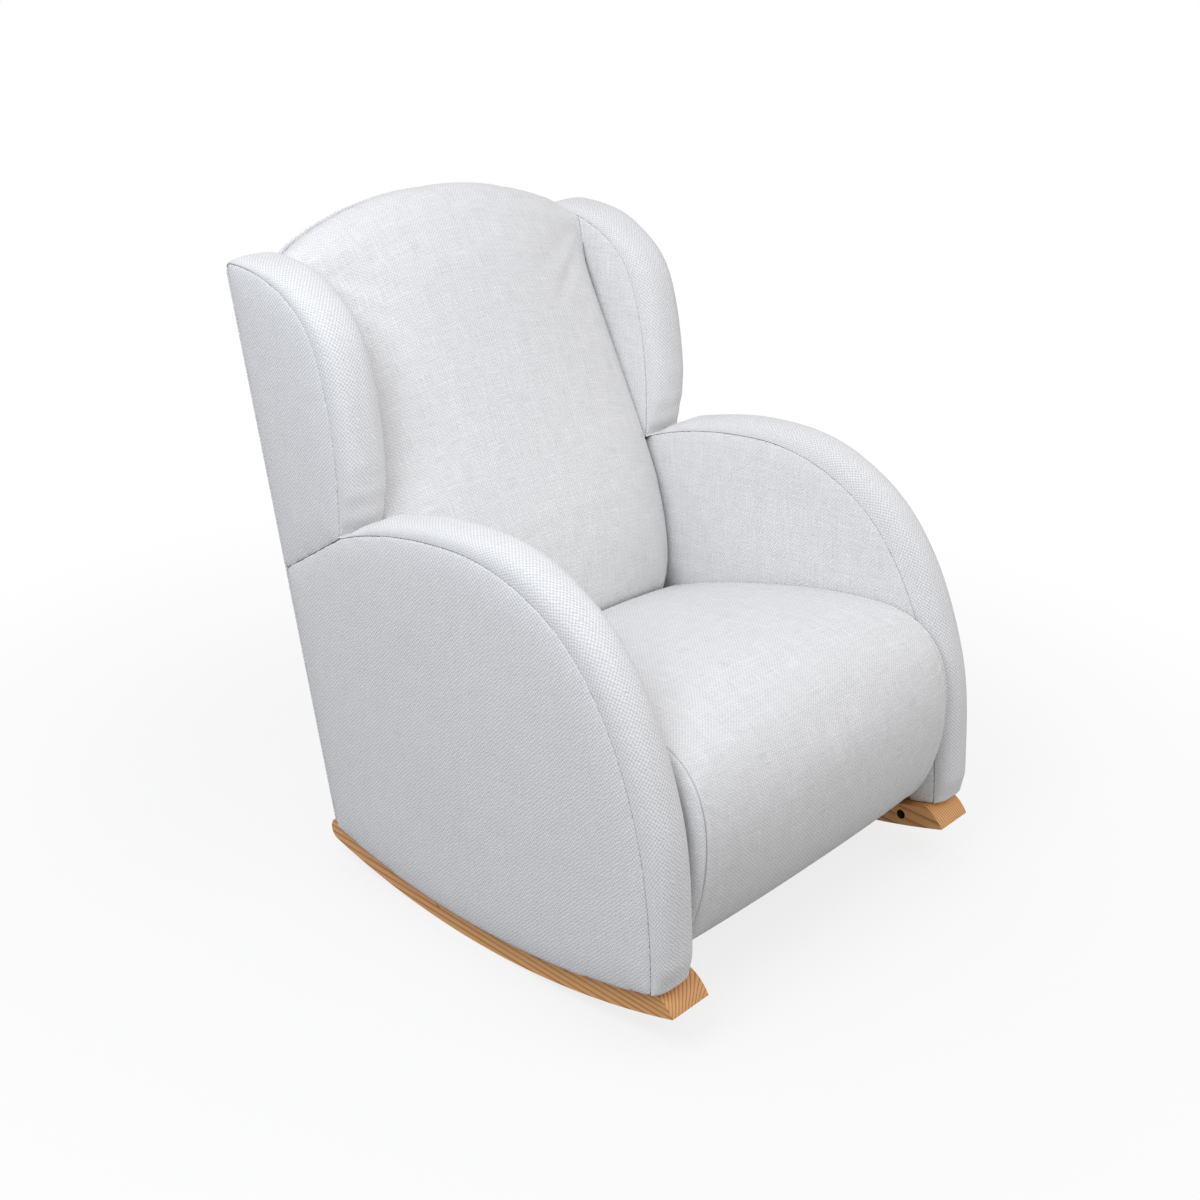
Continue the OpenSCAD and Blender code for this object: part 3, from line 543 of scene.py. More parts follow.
def wing_inner_outline():
    w = INNER_PANEL_REAR
    above_rail = cushion_crest(back_half()) - RAIL_UNDER_CREST + 0.001
    seam = seam_points(wing_seam())
    return [*seam, lean_point(REAR_COVER + GAP, above_rail), lean_point(w, above_rail), side_seam_end(w)]


def crest(x):
    s = settings()
    half = s.half_width - s.wing_width - 0.004
    radius = (half * half + s.arch_rise**2) / (2 * s.arch_rise)
    return s.crest_height - radius + math.sqrt(radius * radius - x * x)


def rear_outline():
    """The rear cover's outline, as X and height along the lean."""
    s = settings()
    drop, corner, foot = 0.002, 0.006, 0.084
    top = s.wing_height / math.cos(LEAN) - WING_CORNER + 0.002
    outer, inner = s.half_width, s.half_width - s.wing_width
    across = [inner * (0.985 - 1.97 * i / 60) for i in range(61)]
    arch = [yz(x, crest(x) - drop - CREST_END_DROP * draw_share(x) ** 2) for x in across]
    right = [yz(outer, foot), yz(outer, top - corner), yz(outer - 0.3 * corner, top - 0.3 * corner)]
    right += [yz(outer - corner, top), yz(inner, top)]
    left = [yz(-p.x, p.y) for p in reversed(right)]
    return [*right, *arch, *left]


# Seat and back cushions

CUSHION_COLUMNS = 84
CROWN_POWER = 2.4
BELLY_FOOT = 0.262
BELLY_RECESS = 0.038
LUMBAR_HEIGHT = 0.480
CREST_END_DROP = 0.008
CREST_PEAK = 0.033
RAIL_UNDER_CREST = 0.0255
SEAT_TO_BACK = 0.0015


def back_half():
    return settings().half_width - settings().wing_width - 0.0004


def cushion_crest(x):
    """The crest over x, and beyond its ends the height that it has there."""
    return crest(min(abs(x), back_half() - 0.0025))


def belly():
    depth = settings().lumbar_depth
    foot, top = yz(depth - BELLY_RECESS, BELLY_FOOT), yz(depth, LUMBAR_HEIGHT)
    return bezier(foot, foot + yz(0.044, 0.038), top + yz(0.008, -0.080), top)


def back_front(top):
    """The cushion's front from its foot to the rear edge of its crest, as depth and height along the lean."""
    lumbar = yz(settings().lumbar_depth, LUMBAR_HEIGHT)
    shoulder, peak, edge = yz(0.080, top - 0.050), yz(CREST_PEAK, top), yz(REAR_COVER + GAP, top - 0.014)
    return chain(
        belly(),
        bezier(lumbar, lumbar + yz(-0.016, 0.090), shoulder + yz(0.028, -0.105), shoulder),
        bezier(shoulder, shoulder + yz(-0.014, 0.036), peak + yz(0.017, 0), peak, 12),
        bezier(peak, peak + yz(-0.010, 0), edge + yz(0.005, 0.011), edge, 8),
    )


def draw_share(x):
    """How far x lies into the drawn-in end of the back: 0 before it, 1 at the end."""
    return max(0.0, (abs(x) / back_half() - 0.84) / 0.16)


def back_lift(x):
    """How far the back's front stands ahead of its line at x, well under the crest."""
    u = min(1.0, abs(x) / back_half())
    return settings().back_crown * (1 - u**CROWN_POWER) - 0.024 * draw_share(x) ** 2


def edge_dive(x, half, radius):
    """How far a cover has rolled into its end seam at x."""
    over = max(0.0, abs(x) - (half - radius)) / radius
    return radius * (1 - math.sqrt(max(0.0, 1 - min(1.0, over) ** 2)))


def columns_across(half, edge):
    """X positions across a cushion, closer together at its ends."""
    inner = [half - edge * k for k in (1.0, 0.55, 0.25, 0.08, 0.0)]
    even = [(2 * i / CUSHION_COLUMNS - 1) * (half - edge * 1.6) for i in range(CUSHION_COLUMNS + 1)]
    return [-x for x in reversed(inner)] + even + inner


def skin_rings(bm, uv, xs, rings, across, along, **marks):
    """A closed cushion over rings in the side view, one at each X. A mark is worked out from X and row."""
    columns, rows = len(xs) - 1, len(rings[0]) - 1

    def place(a, t):
        i = round(a * columns)
        p = rings[i][round(t * rows)]
        return Vector((xs[i], p.x, p.y))

    def weave(a, t):
        return across[round(a * columns)], along[round(t * rows)]

    def by_share(mark):
        return lambda a, t: float(mark(xs[round(a * columns)], round(t * rows)))

    surface(bm, uv, columns, rows, place, weave, **{name: by_share(mark) for name, mark in marks.items()})
    bmesh.ops.remove_doubles(bm, verts=bm.verts, dist=1e-6)
    close_ends(bm)
    bmesh.ops.recalc_face_normals(bm, faces=bm.faces)


def back_cushion_mesh(bm, uv):
    half, edge = back_half(), 0.006
    xs = columns_across(half, edge)
    front_rows, hidden_rows = 120, 12
    least, behind = REAR_COVER + GAP, POST_FRONT + 0.0023
    rings = []
    for x in xs:
        top = cushion_crest(x) - CREST_END_DROP * draw_share(x) ** 2
        rail = cushion_crest(x) - RAIL_UNDER_CREST
        dive = edge_dive(x, half, 0.005)
        ring = []
        for (p,) in spread(back_front(top), front_rows):
            share = min(1, max(0, top - p.y) / 0.05)
            crowned = min(1.0, max(0.0, (top - p.y) / 0.120)) * back_lift(x)
            over_rail = POST_FRONT + 0.0065 - 4 * max(0, p.y - rail - 0.003) if p.x > CREST_PEAK else 0.0
            ring.append(yz(max(least, over_rail, p.x + crowned - dive * share), p.y - dive * (1 - share)))
        path = [ring[-1], yz(least, rail), yz(behind, rail), yz(behind, BELLY_FOOT), ring[0]]
        ring += [p for (p,) in spread(path, hidden_rows)][1:]
        rings.append(ring)
    along = distances(rings[len(rings) // 2])
    rings = [[lean_point(p.x, p.y) for p in ring] for ring in rings]

    def sewn(x, row):
        """True on the hidden sides and along the end seams, not on the front."""
        return row >= front_rows or row == 0 or abs(x) > half - 1.3 * edge

    skin_rings(bm, uv, xs, rings, xs, along, sewn=sewn)


def seat_line():
    """The seat's end seam from the foot of the roll to the back, with the share of the way along its steps."""
    top = yz(-0.194, settings().seat_height)
    nose, foot, rear = yz(-0.331, 0.255), yz(-0.262, 0.076), yz(0.206, 0.309)
    parts = (
        (bezier(foot, foot + yz(-0.043, 0.024), nose - yz(0, 0.070), nose), 0, 6),
        (bezier(nose, nose + yz(0, 0.105), top + yz(-0.081, 0.002), top), 6, 13),
        (bezier(top, top + yz(0.124, -0.002), rear - yz(0.116, -0.043), rear), 13, 19),
    )
    points = chain(*[p for p, _, _ in parts])
    shares = [0.0]
    for p, a, b in parts:
        shares += [(a + (b - a) * i / (len(p) - 1)) / 19 for i in range(1, len(p))]
    return points, shares


def clear_of_back(x, p):
    """A point of the seat at x, moved forwards as far as the back cushion needs."""
    v =(p - yz(BACK_FOOT, 0)).dot(ALONG_LEAN)
    w = (p - yz(BACK_FOOT, 0)).dot(AHEAD)
    if v < BELLY_FOOT:
        return p
    line = belly()
    depth = line[-1].x
    for a, b in zip(line, line[1:]):
        if a.y <= v <= b.y:
            depth = a.x + (b.x - a.x) * (v - a.y) / max(1e-9, b.y - a.y)
            break
    need = depth + back_lift(x) + SEAT_TO_BACK - w
    return p - yz(max(0.0, need) / math.cos(LEAN), 0)


def seat_underside():
    """The hidden line of the seat from its rear over the deck and round the front rail's foot."""
    rear, front, over_deck = back_y(0.1672, POST_FRONT) - GAP, FRONT_RAIL - 0.0004, 0.0045
    rear_z, rail_foot, hem = 0.258, 0.0945, yz(-0.252, 0.0765)
    deck = [yz(y, deck_z(y) + over_deck) for y in (rear, front)]
    return [yz(0.222, rear_z), yz(rear, rear_z), *deck, yz(front, rail_foot), yz(hem.x, rail_foot), hem]


def seat_cushion_mesh(bm, uv):
    s = settings()
    half, edge, swell, seam_depth = s.seat_half, 0.007, 0.010, 0.0016
    ends = [half + swell * math.sin(math.radians(a)) for a in (4, 14, 28, 45, 62, 78, 90)]
    falls = dict(zip(ends, (0.005, 0.0035, 0.004, 0.008, 0.014, 0.022, 0.030)))
    xs = [-x for x in reversed(ends)] + columns_across(half, edge) + ends
    roll, seat = s.roll_crown, s.seat_crown
    crowns = ((0, roll / 3), (0.1, roll), (0.4, roll), (0.65, seat), (1, seat))
    rows_seen, hidden_rows, measured_row = 116, 18, 40
    points, shares = seat_line()
    line = spread(points, rows_seen, shares)
    seen = [p for p, _ in line]
    normals = [outward(seen, i) for i in range(len(seen))]
    under = seat_underside()

    def on_seam(x, row):
        """True along the seams that join the top and its roll to the end panels."""
        return abs(abs(x) - half) < 1e-6

    def sewn(x, row):
        """True on the underside, the rear and the end panels, not on the top and the front roll."""
        return row >= rows_seen - 8 or row == 0 or abs(x) > half - 0.001

    rings = []
    for x in xs:
        u = min(1.0, abs(x) / half)
        ring = []
        for i, (p, share) in enumerate(line):
            if abs(x) in falls:
                lift = -falls[abs(x)] * min(1.0, 0.3 + i / 6, 0.3 + (rows_seen - i) / 6)
            else:
                lift = eased(crowns, share) * (1 - u**CROWN_POWER) - edge_dive(x, half, edge) * 0.8
                lift -= seam_depth * on_seam(x, i)
            ring.append(clear_of_back(x, p + normals[i] * lift))
        heel = lean_point(s.lumbar_depth - BELLY_RECESS + back_lift(x) + SEAT_TO_BACK, BELLY_FOOT - GAP)
        path = [ring[-1], yz(min(ring[-1].x, heel.x), heel.y), *under, ring[0]]
        ring += [p for (p,) in spread(path, hidden_rows)][1:]
        rings.append(ring)
    along = distances(rings[len(rings) // 2])
    across = distances([Vector((x, *ring[measured_row])) for x, ring in zip(xs, rings)])
    # The seam mark also darkens the cloth along these seams: painted shade in their groove.
    skin_rings(bm, uv, xs, rings, across, along, sewn=sewn, seam=on_seam)


def make_cushion(part, mesh_maker):
    piece = new_object(f"{part}_cover", mesh_maker)
    puff(piece)
    finish_piece(piece, [part], "cover_smooth", MATERIALS["linen"])


# Materials


class Shade:
    """A value in a material's node tree that Python's own operators work on."""

    def __init__(self, tree, socket):
        self.tree = tree
        self.socket = socket

    def node(self, kind, setup=None, **values):
        """A new node: setup is set first, then the values or links of its sockets. Gives its first output."""
        made = self.tree.nodes.new(kind)
        for key, value in (setup or {}).items():
            setattr(made, key, value)
        for key, value in values.items():
            socket = made.inputs[int(key[1:]) if key[1:].isdigit() else key.replace("_", " ")]
            if isinstance(value, Shade):
                self.tree.links.new(value.socket, socket)
            else:
                socket.default_value = value
        output = next(o for o in made.outputs if o.enabled)
        return Shade(self.tree, output)

    def output(self, name):
        return Shade(self.tree, self.socket.node.outputs[name])

    def maths(self, operation, a, b=0.0):
        return self.node("ShaderNodeMath", {"operation": operation}, i0=a, i1=b)

    def __add__(self, other):
        return self.maths("ADD", self, other)

    __radd__ = __add__

    def __sub__(self, other):
        return self.maths("SUBTRACT", self, other)

    def __rsub__(self, other):
        return self.maths("SUBTRACT", other, self)

    def __mul__(self, other):
        return self.maths("MULTIPLY", self, other)

    def sine(self):
        return self.maths("SINE", self)

    def size(self):
        return self.maths("ABSOLUTE", self)

    def length(self):
        return self.node("ShaderNodeVectorMath", {"operation": "LENGTH"}, i0=self)

    def clamped(self, low, high):
        return self.maths("MINIMUM", self.maths("MAXIMUM", self, low), high)

    def split(self):
        parts = self.node("ShaderNodeSeparateXYZ", Vector=self)
        return parts, parts.output("Y"), parts.output("Z")

    def mapped(self, **values):
        return self.node("ShaderNodeMapping", Vector=self, **values)

    def clouds(self, scale, detail, dimensions="3D"):
        setup = {"noise_dimensions": dimensions}
        return self.node("ShaderNodeTexNoise", setup, Vector=self, Scale=scale, Detail=detail)

    def own_place(self):
        """The place of a point in its object's own space."""
        return self.node("ShaderNodeTexCoord").output("Object")

    def above(self, level, width):
        """0 below level, 1 above level + width, eased between."""
        return self.node(
            "ShaderNodeMapRange",
            {"interpolation_type": "SMOOTHSTEP"},
            Value=self,
            From_Min=level,
            From_Max=level + width,
        )

    def mix(self, a, b):
        """Colour a where this is 0, and b where it is 1."""
        return self.node("ShaderNodeMix", {"data_type": "RGBA"}, i0=self, i6=a, i7=b).output("Result")


def rgba(c, scale=1.0):
    return (*[min(1.0, x * scale) for x in c], 1.0)


def new_material(name):
    material = bpy.data.materials.new(name)
    material.use_nodes = True
    tree = material.node_tree
    shader = tree.nodes["Principled BSDF"]
    start = Shade(tree, shader.outputs[0])
    return material, shader, start


def feed(shade, shader, name):
    shade.tree.links.new(shade.socket, shader.inputs[name])


def bump(start, shader, height, distance, strength):
    made = start.node("ShaderNodeBump", Strength=strength, Distance=distance, Height=height)
    feed(made, shader, "Normal")


def cloth_material(name, base, period, dots, slubs, seed):
    """Woven cloth on the weave map: crossing threads, slubs that run along them, and painted shade along the
    seams that carry the seam mark.
    """
    material, shader, start = new_material(name)
    uv = start.node("ShaderNodeUVMap", {"uv_map": "weave"})
    u, v, _ = uv.split()
    wobble = (uv.clouds(150.0, 0.0, "2D") - 0.5) * (period * 0.35)
    k = 2 * math.pi / period
    crossing = ((u + wobble) * k).sine() * ((v + wobble) * k).sine()

    def streak(scale_u, scale_v, shift):
        at = uv.mapped(Scale=(scale_u, scale_v, 1.0), Location=(shift, seed + shift, 0.0))
        return at.clouds(1.0, 0.0, "2D").above(0.62, 0.12)

    light_threads = streak(20.0, 620.0, 3.1) + streak(620.0, 20.0, 7.7)
    dark_threads = streak(26.0, 680.0, 11.3) + streak(680.0, 26.0, 15.9)
    tone = crossing * (0.5 * dots) + (light_threads - dark_threads) * (0.5 * slubs)
    tone = tone + (uv.clouds(9.0, 1.0, "2D") - 0.5) * 0.03 + 0.5
    # Painted shade: where the seam attribute is 1, the cloth is darkened to stand in for the shade in the seam's
    # groove.
    seam_shade = start.node("ShaderNodeAttribute", {"attribute_name": "seam"}).output("Fac")
    tone = (tone - seam_shade * 1.2).clamped(-0.6, 1.0)
    dark = rgba([c * t for c, t in zip(base, (0.72, 0.72, 0.71))])
    feed(tone.mix(dark, rgba(base, 1.16)), shader, "Base Color")
    shader.inputs["Roughness"].default_value = 0.92
    shader.inputs["Sheen Weight"].default_value = 0.12
    shader.inputs["Sheen Roughness"].default_value = 0.5
    shader.inputs["Specular IOR Level"].default_value = 0.25
    bump(start, shader, crossing * 0.5 + 0.5, 0.0006, 0.5)
    return material


def pine_material(name, light, dark, ring_scale, centre, knots=(), bores=()):
    """Pine sawn from a straight board: rings round a pith that runs along the chair, with fine fibres.

    Knots are places in Y and Z on the board's face, and bores are the axes of the holes, whose walls are
    coloured nearly black as painted shade inside them.
    """
    material, shader, start = new_material(name)
    place = start.own_place()
    at = place.mapped(Location=centre, Scale=(1.0, 0.06, 1.0))
    x, _, z = at.split()
    radius = start.maths("SQRT", x * x + z * z) + (at.clouds(9.0, 2.0) - 0.5) * 0.022
    ring = start.maths("FRACT", radius * ring_scale)
    late = ring.above(0.45, 0.45) * (1 - ring.above(0.93, 0.07))
    fibres = place.mapped(Scale=(900.0, 14.0, 900.0)).clouds(1.0, 2.0)
    share = late * (0.95 + (place.clouds(14.0, 2.0) - 0.5) * 0.7) + (fibres - 0.5) * 0.25 + 0.06
    for y, z in knots:
        off = place.mapped(Location=(0, -y * 0.6, -z), Scale=(0, 0.6, 1))
        share = share + 1.4 - off.length().above(0.0008, 0.0024) * 1.4
    colour = share.clamped(0.0, 1.0).mix(rgba(light), rgba(dark))
    reach = place.split()[0].size()
    # Painted shade: each bore's wall, out to the barrel nut, is coloured nearly black.
    for y, z in bores:
        off = place.mapped(Location=(0, -y, -z), Scale=(0, 1, 1))
        inside = (1 - off.length().above(BORE_RADIUS, 0.0006)) * (1 - reach.above(BORE_END + GAP, 0.0005))
        colour = (inside * 0.9).mix(colour, rgba((0.02, 0.012, 0.008)))
    feed(colour, shader, "Base Color")
    feed(0.42 + (fibres - 0.5) * 0.2, shader, "Roughness")
    bump(start, shader, late * 0.4 + fibres * 0.5, 0.0003, 0.35)
    return material


def plain_material(name, base, roughness, grain, metallic=0.0, bump_depth=0.0002):
    """Metal, board, lining or foam: a base colour with a fine mottle."""
    material, shader, start = new_material(name)
    field = start.own_place().clouds(grain, 4.0)
    feed(field.mix(rgba(base, 0.85), rgba(base, 1.15)), shader, "Base Color")
    feed(field * 0.2 + (roughness - 0.1), shader, "Roughness")
    shader.inputs["Metallic"].default_value = metallic
    bump(start, shader, field, bump_depth, 0.4)
    return material


MATERIALS = {}
BORE_RADIUS = 0.0072
BORE_END = 0.3522
FRAME_PINE, FRAME_GRAIN = (0.66, 0.50, 0.30), (0.50, 0.32, 0.16)


def on_rocker(y, depth):
    """Y and Z at rest of a point that lies depth above a rocker's underside."""
    p = rest() @ Vector((0, y, arc_z(y, settings().rocker_radius - depth)))
    return p.y, p.z


def make_materials():
    colours = bpy.context.scene.rocking_chair_finishes
    knots = [on_rocker(0.11, 0.020), on_rocker(-0.145, 0.026)]
    bores = [on_rocker(y, settings().rocker_depth / 2) for y in BORES]
    pine = (colours.pine, colours.grain, 210.0, (0.18, 0.3, 0.10), knots, bores)
    MATERIALS["linen"] = cloth_material("linen_weave", colours.linen, 0.0058, 0.55, 0.27, 0.0)
    MATERIALS["basket"] = cloth_material("basket_weave", colours.basket, 0.0060, 0.85, 0.16, 4.0)
    MATERIALS["pine"] = pine_material("rocker_pine", *pine)
    MATERIALS["frame_pine"] = pine_material("frame_pine", FRAME_PINE, FRAME_GRAIN, 150.0, (0.1, 0.1, 0.4))
    MATERIALS["lining"] = plain_material("seat_lining", colours.lining, 0.9, 400.0)
    MATERIALS["steel"] = plain_material("zinc_steel", (0.55, 0.56, 0.58), 0.35, 300.0, metallic=1.0)
    MATERIALS["board"] = plain_material("hardboard", (0.20, 0.12, 0.07), 0.8, 250.0)
    MATERIALS["foam"] = plain_material("foam_block", (0.78, 0.72, 0.45), 0.95, 500.0, bump_depth=0.0008)
    MATERIALS["webbing"] = plain_material("elastic_webbing", (0.04, 0.04, 0.04), 0.85, 600.0)


# The frame's other nodes are pine.
INNER_FINISHES = {
    **dict.fromkeys(("rocker_bolts", "bolt_washers", "barrel_nuts", "frame_screws"), "steel"),
    **dict.fromkeys(("side_board_left", "side_board_right", "back_board"), "board"),
    **dict.fromkeys(("seat_webbing", "back_webbing"), "webbing"),
    **dict.fromkeys(("seat_foam", "back_foam"), "foam"),
}


# Operators


class CHAIR_OT_finishes(bpy.types.Operator):
    """Make the materials and give them to the parts of the frame that stay"""

    bl_idname = "rocking_chair.finishes"
    bl_label = "Finishes"

    def execute(self, context):
        make_materials()
        for name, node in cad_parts.items():
            node.data.materials.clear()
            node.data.materials.append(MATERIALS[INNER_FINISHES.get(name, "frame_pine")])
        return {"FINISHED"}


class CHAIR_OT_rockers(bpy.types.Operator):
    """Make the two pine rockers, with eased edges and the bores for their barrel nuts"""

    bl_idname = "rocking_chair.rockers"
    bl_label = "Rockers"

    def execute(self, context):
        for side, name in SIDES:
            piece = new_object(f"pine_rocker_{name}", lambda bm, uv, side=side: rocker_mesh(bm, side))
            bore_rocker(piece, side)
            ease = piece.modifiers.new("Eased edges", "BEVEL")
            ease.width, ease.segments = 0.0013, 3
            ease.limit_method, ease.angle_limit = "ANGLE", math.radians(40)
            ease.harden_normals = False
            finish_piece(piece, [f"rocker_{name}"], "rocker_pine", MATERIALS["pine"], smooth=0)
            shade_smooth(piece.data)
            piece.modifiers.new("Shading", "WEIGHTED_NORMAL").keep_sharp = True
        return {"FINISHED"}


def rocker_mesh(bm, side):
    """A rocker's outline along its underside, round its rear end, along its top and round its nose."""
    s = settings()
    radius, depth = s.rocker_radius, s.rocker_depth
    inner_r, middle_r, nose_r = radius - depth, radius - depth / 2, 0.060

    def arc(r, a, b, steps):
        return [yz(r * math.sin(c), radius - r * math.cos(c)) for c in evenly(a, b, steps)]

    def turn(centre, r, a, b, steps):
        return [centre + yz(math.cos(c), math.sin(c)) * r for c in evenly(a, b, steps)][1:-1]

    tip = yz(ROCKER_TIP, arc_z(ROCKER_TIP, radius))
    start = yz(ROCKER_TOP_FRONT, arc_z(ROCKER_TOP_FRONT, inner_r))
    chord = start - tip
    half = chord.length / 2
    nose = (start + tip) / 2 + yz(chord.y, -chord.x) / (2 * half) * math.sqrt(nose_r**2 - half**2)
    rear_a = math.asin((ROCKER_REAR - depth / 2) / middle_r)
    end = yz(middle_r * math.sin(rear_a), radius - middle_r * math.cos(rear_a))
    a0 = math.atan2((start - nose).y, (start - nose).x)
    a1 = math.atan2((tip - nose).y, (tip - nose).x)
    a1 += 2 * math.pi if a1 < a0 else 0
    outline = [
        *arc(radius, math.asin(ROCKER_TIP / radius), rear_a, 90),
        *turn(end, depth / 2, rear_a - math.pi / 2, rear_a + math.pi / 2, 20),
        *arc(inner_r, rear_a, math.asin(ROCKER_TOP_FRONT / inner_r), 84),
        *turn(nose, nose_r, a0, a1, 10),
    ]
    outer = s.half_width - s.rocker_inset
    verts = [bm.verts.new((side * outer, p.x, p.y)) for p in outline]
    face = bm.faces.new(verts)
    made = bmesh.ops.extrude_face_region(bm, geom=[face])
    moved = [g for g in made["geom"] if isinstance(g, bmesh.types.BMVert)]
    bmesh.ops.translate(bm, verts=moved, vec=(-side * s.rocker_width, 0, 0))
    bmesh.ops.recalc_face_normals(bm, faces=bm.faces)


def bore_rocker(piece, side):
    """Cuts the two cross bores that take the barrel nuts."""
    s = settings()
    inner = s.half_width - s.rocker_inset - s.rocker_width
    deep, past = BORE_END - inner, 0.010
    across = Matrix.Rotation(math.pi / 2, 4, "Y")
    size = {"radius1": BORE_RADIUS, "radius2": BORE_RADIUS, "depth": deep + past}

    def cutters(bm, uv):
        for y in BORES:
            z = arc_z(y, s.rocker_radius - s.rocker_depth / 2)
            at = Matrix.Translation((side * (inner + deep / 2 - past / 2), y, z)) @ across
            bmesh.ops.create_cone(bm, cap_ends=True, cap_tris=False, segments=40, matrix=at, **size)

    cutter = new_object("bore_cutter", cutters)
    cut = piece.modifiers.new("Bores", "BOOLEAN")
    cut.operation, cut.solver, cut.object = "DIFFERENCE", "EXACT", cutter
    graph = bpy.context.evaluated_depsgraph_get()
    mesh = bpy.data.meshes.new_from_object(piece.evaluated_get(graph))
    piece.modifiers.clear()
    piece.data = mesh
    bpy.data.objects.remove(cutter)


class CHAIR_OT_arm_bands(bpy.types.Operator):
    """Make the crowned bands that run up the front of each arm and over its top"""

    bl_idname = "rocking_chair.arm_bands"
    bl_label = "Arm Bands"

    def execute(self, context):
        make_bands("arm_band", arm_seam(), settings().arm_width, ARM_CROWNS, (0, 0.0005))
        return {"FINISHED"}


class CHAIR_OT_wing_bands(bpy.types.Operator):
    """Make the crowned bands that run up the front of each wing and over its top"""

    bl_idname = "rocking_chair.wing_bands"
    bl_label = "Wing Bands"

    def execute(self, context):
        make_bands("wing_band", wing_seam(), settings().wing_width, WING_CROWNS, (0.0015, 0))
        return {"FINISHED"}


class CHAIR_OT_side_covers(bpy.types.Operator):
    """Make the flat padded covers on the outer and inner faces of the arms and wings"""

    bl_idname = "rocking_chair.side_covers"
    bl_label = "Side Covers"

    def execute(self, context):
        s = settings()
        arm_in, wing_in = s.half_width - s.arm_width, s.half_width - s.wing_width
        covers = (
            ("arm_outer", arm_outer_outline, s.half_width, 1, "cover_basket", "basket", 0.0060),
            ("wing_outer", wing_outer_outline, s.half_width, 1, "cover_basket", "basket", 0.0050),
            ("arm_inner", arm_inner_outline, arm_in, -1, "cover_smooth", "linen", 0.0050),
            ("wing_inner", wing_inner_outline, wing_in, -1, "cover_smooth", "linen", 0.0040),
        )
        for k, (part, outline, x, facing, slot, finish, pillow) in enumerate(covers):
            for side, name in SIDES:
                piece = side_cover(f"{part}_cover_{name}", outline(), side, x, facing, pillow, 3.0 * k + side)
                finish_piece(piece, [f"{part}_panel_{name}"], slot, MATERIALS[finish], 0.004)
        return {"FINISHED"}


class CHAIR_OT_rear_cover(bpy.types.Operator):
    """Make the padded cover over the chair's rear"""

    bl_idname = "rocking_chair.rear_cover"
    bl_label = "Rear Cover"

    def execute(self, context):
        edge, pillow, backwards = 0.005, 0.004, Vector((0, 1, 0))

        def to_space(a, b, rise):
            p = lean_point(REAR_COVER - edge - rise, b)
            return Vector((a, p.x, p.y))

        def make(bm, uv):
            outline_cover(bm, uv, rear_outline(), to_space, backwards, edge, pillow, 0.03, 0.02, 9.0)

        piece = new_object("rear_cover", make)
        finish_piece(piece, ["rear_panel"], "cover_basket", MATERIALS["basket"], 0.0045)
        return {"FINISHED"}


class CHAIR_OT_seat_cushion(bpy.types.Operator):
    """Make the crowned seat with its rolled front"""

    bl_idname = "rocking_chair.seat_cushion"
    bl_label = "Seat Cushion"

    def execute(self, context):
        make_cushion("seat_cushion", seat_cushion_mesh)
        return {"FINISHED"}


class CHAIR_OT_back_cushion(bpy.types.Operator):
    """Make the crowned back cushion under its arched crest"""

    bl_idname = "rocking_chair.back_cushion"
    bl_label = "Back Cushion"

    def execute(self, context):
        make_cushion("back_cushion", back_cushion_mesh)
        return {"FINISHED"}


class CHAIR_OT_lining(bpy.types.Operator):
    """Make the thin lining stretched under the seat"""

    bl_idname = "rocking_chair.lining"
    bl_label = "Lining"

    def execute(self, context):
        half, front, rear, z = 0.3012, -0.2517, 0.2848, 0.0942
        wide, deep = 2 * half, rear - front

        def place(s, t):
            edge = min(s, 1 - s, t, 1 - t)
            sag = 0.0012 * min(1.0, edge * 5) * (1 + noise.noise(Vector((s * 6, t * 6, 1))))
            return Vector((-half + s * wide, front + t * deep, z - sag))

        def make(bm, uv):
            surface(bm, uv, 40, 34, place, lambda s, t: (s * wide, t * deep))
            bmesh.ops.reverse_faces(bm, faces=bm.faces)

        piece = new_object("seat_lining_sheet", make)
        finish_piece(piece, ["bottom_cover"], "lining", MATERIALS["lining"], 0.0010)
        return {"FINISHED"}


class CHAIR_OT_stage(bpy.types.Operator):
    """Make the pale floor, the soft lights and the camera"""

    bl_idname = "rocking_chair.stage"
    bl_label = "Stage"

    def execute(self, context):
        scene = context.scene
        scene.view_settings.view_transform = "Standard"
        make_floor()
        make_lights()
        make_camera()
        return {"FINISHED"}


def seen_directly(start):
    """1 for what the camera sees itself, in a mirror or through glass, else 0."""
    path = start.node("ShaderNodeLightPath")
    rays = [path.output(n) for n in ("Is Camera Ray", "Is Glossy Ray", "Is Transmission Ray")]
    return start.maths("MINIMUM", rays[0] + rays[1] + rays[2], 1.0)


def make_floor():
    """A floor that the camera sees as white away from the chair, with the chair's own shadow near it."""

    def make(bm, uv):
        bmesh.ops.create_grid(bm, x_segments=4, y_segments=4, size=60)

    floor = new_object("studio_floor", make)
    floor.data.transform(rest().inverted())
    floor.data.transform(Matrix.Translation((0, 0, -0.0005)))
    material, shader, start = new_material("studio_floor")
    colours = bpy.context.scene.rocking_chair_finishes
    seen = seen_directly(start)
    feed(seen.mix(rgba(colours.floor, 0.36), rgba(colours.floor)), shader, "Base Color")
    shader.inputs["Roughness"].default_value = 0.9
    shader.inputs["Specular IOR Level"].default_value = 0.1
    whiteness = 0.80 + start.own_place().length().above(0.6, 1.0) * 0.20
    glow = start.node("ShaderNodeEmission", Color=(1, 1, 1, 1), Strength=1.0)
    white = start.node("ShaderNodeMixShader", i0=seen * whiteness, i1=start, i2=glow)
    start.tree.links.new(white.socket, start.tree.nodes["Material Output"].inputs["Surface"])
    floor.data.materials.append(material)


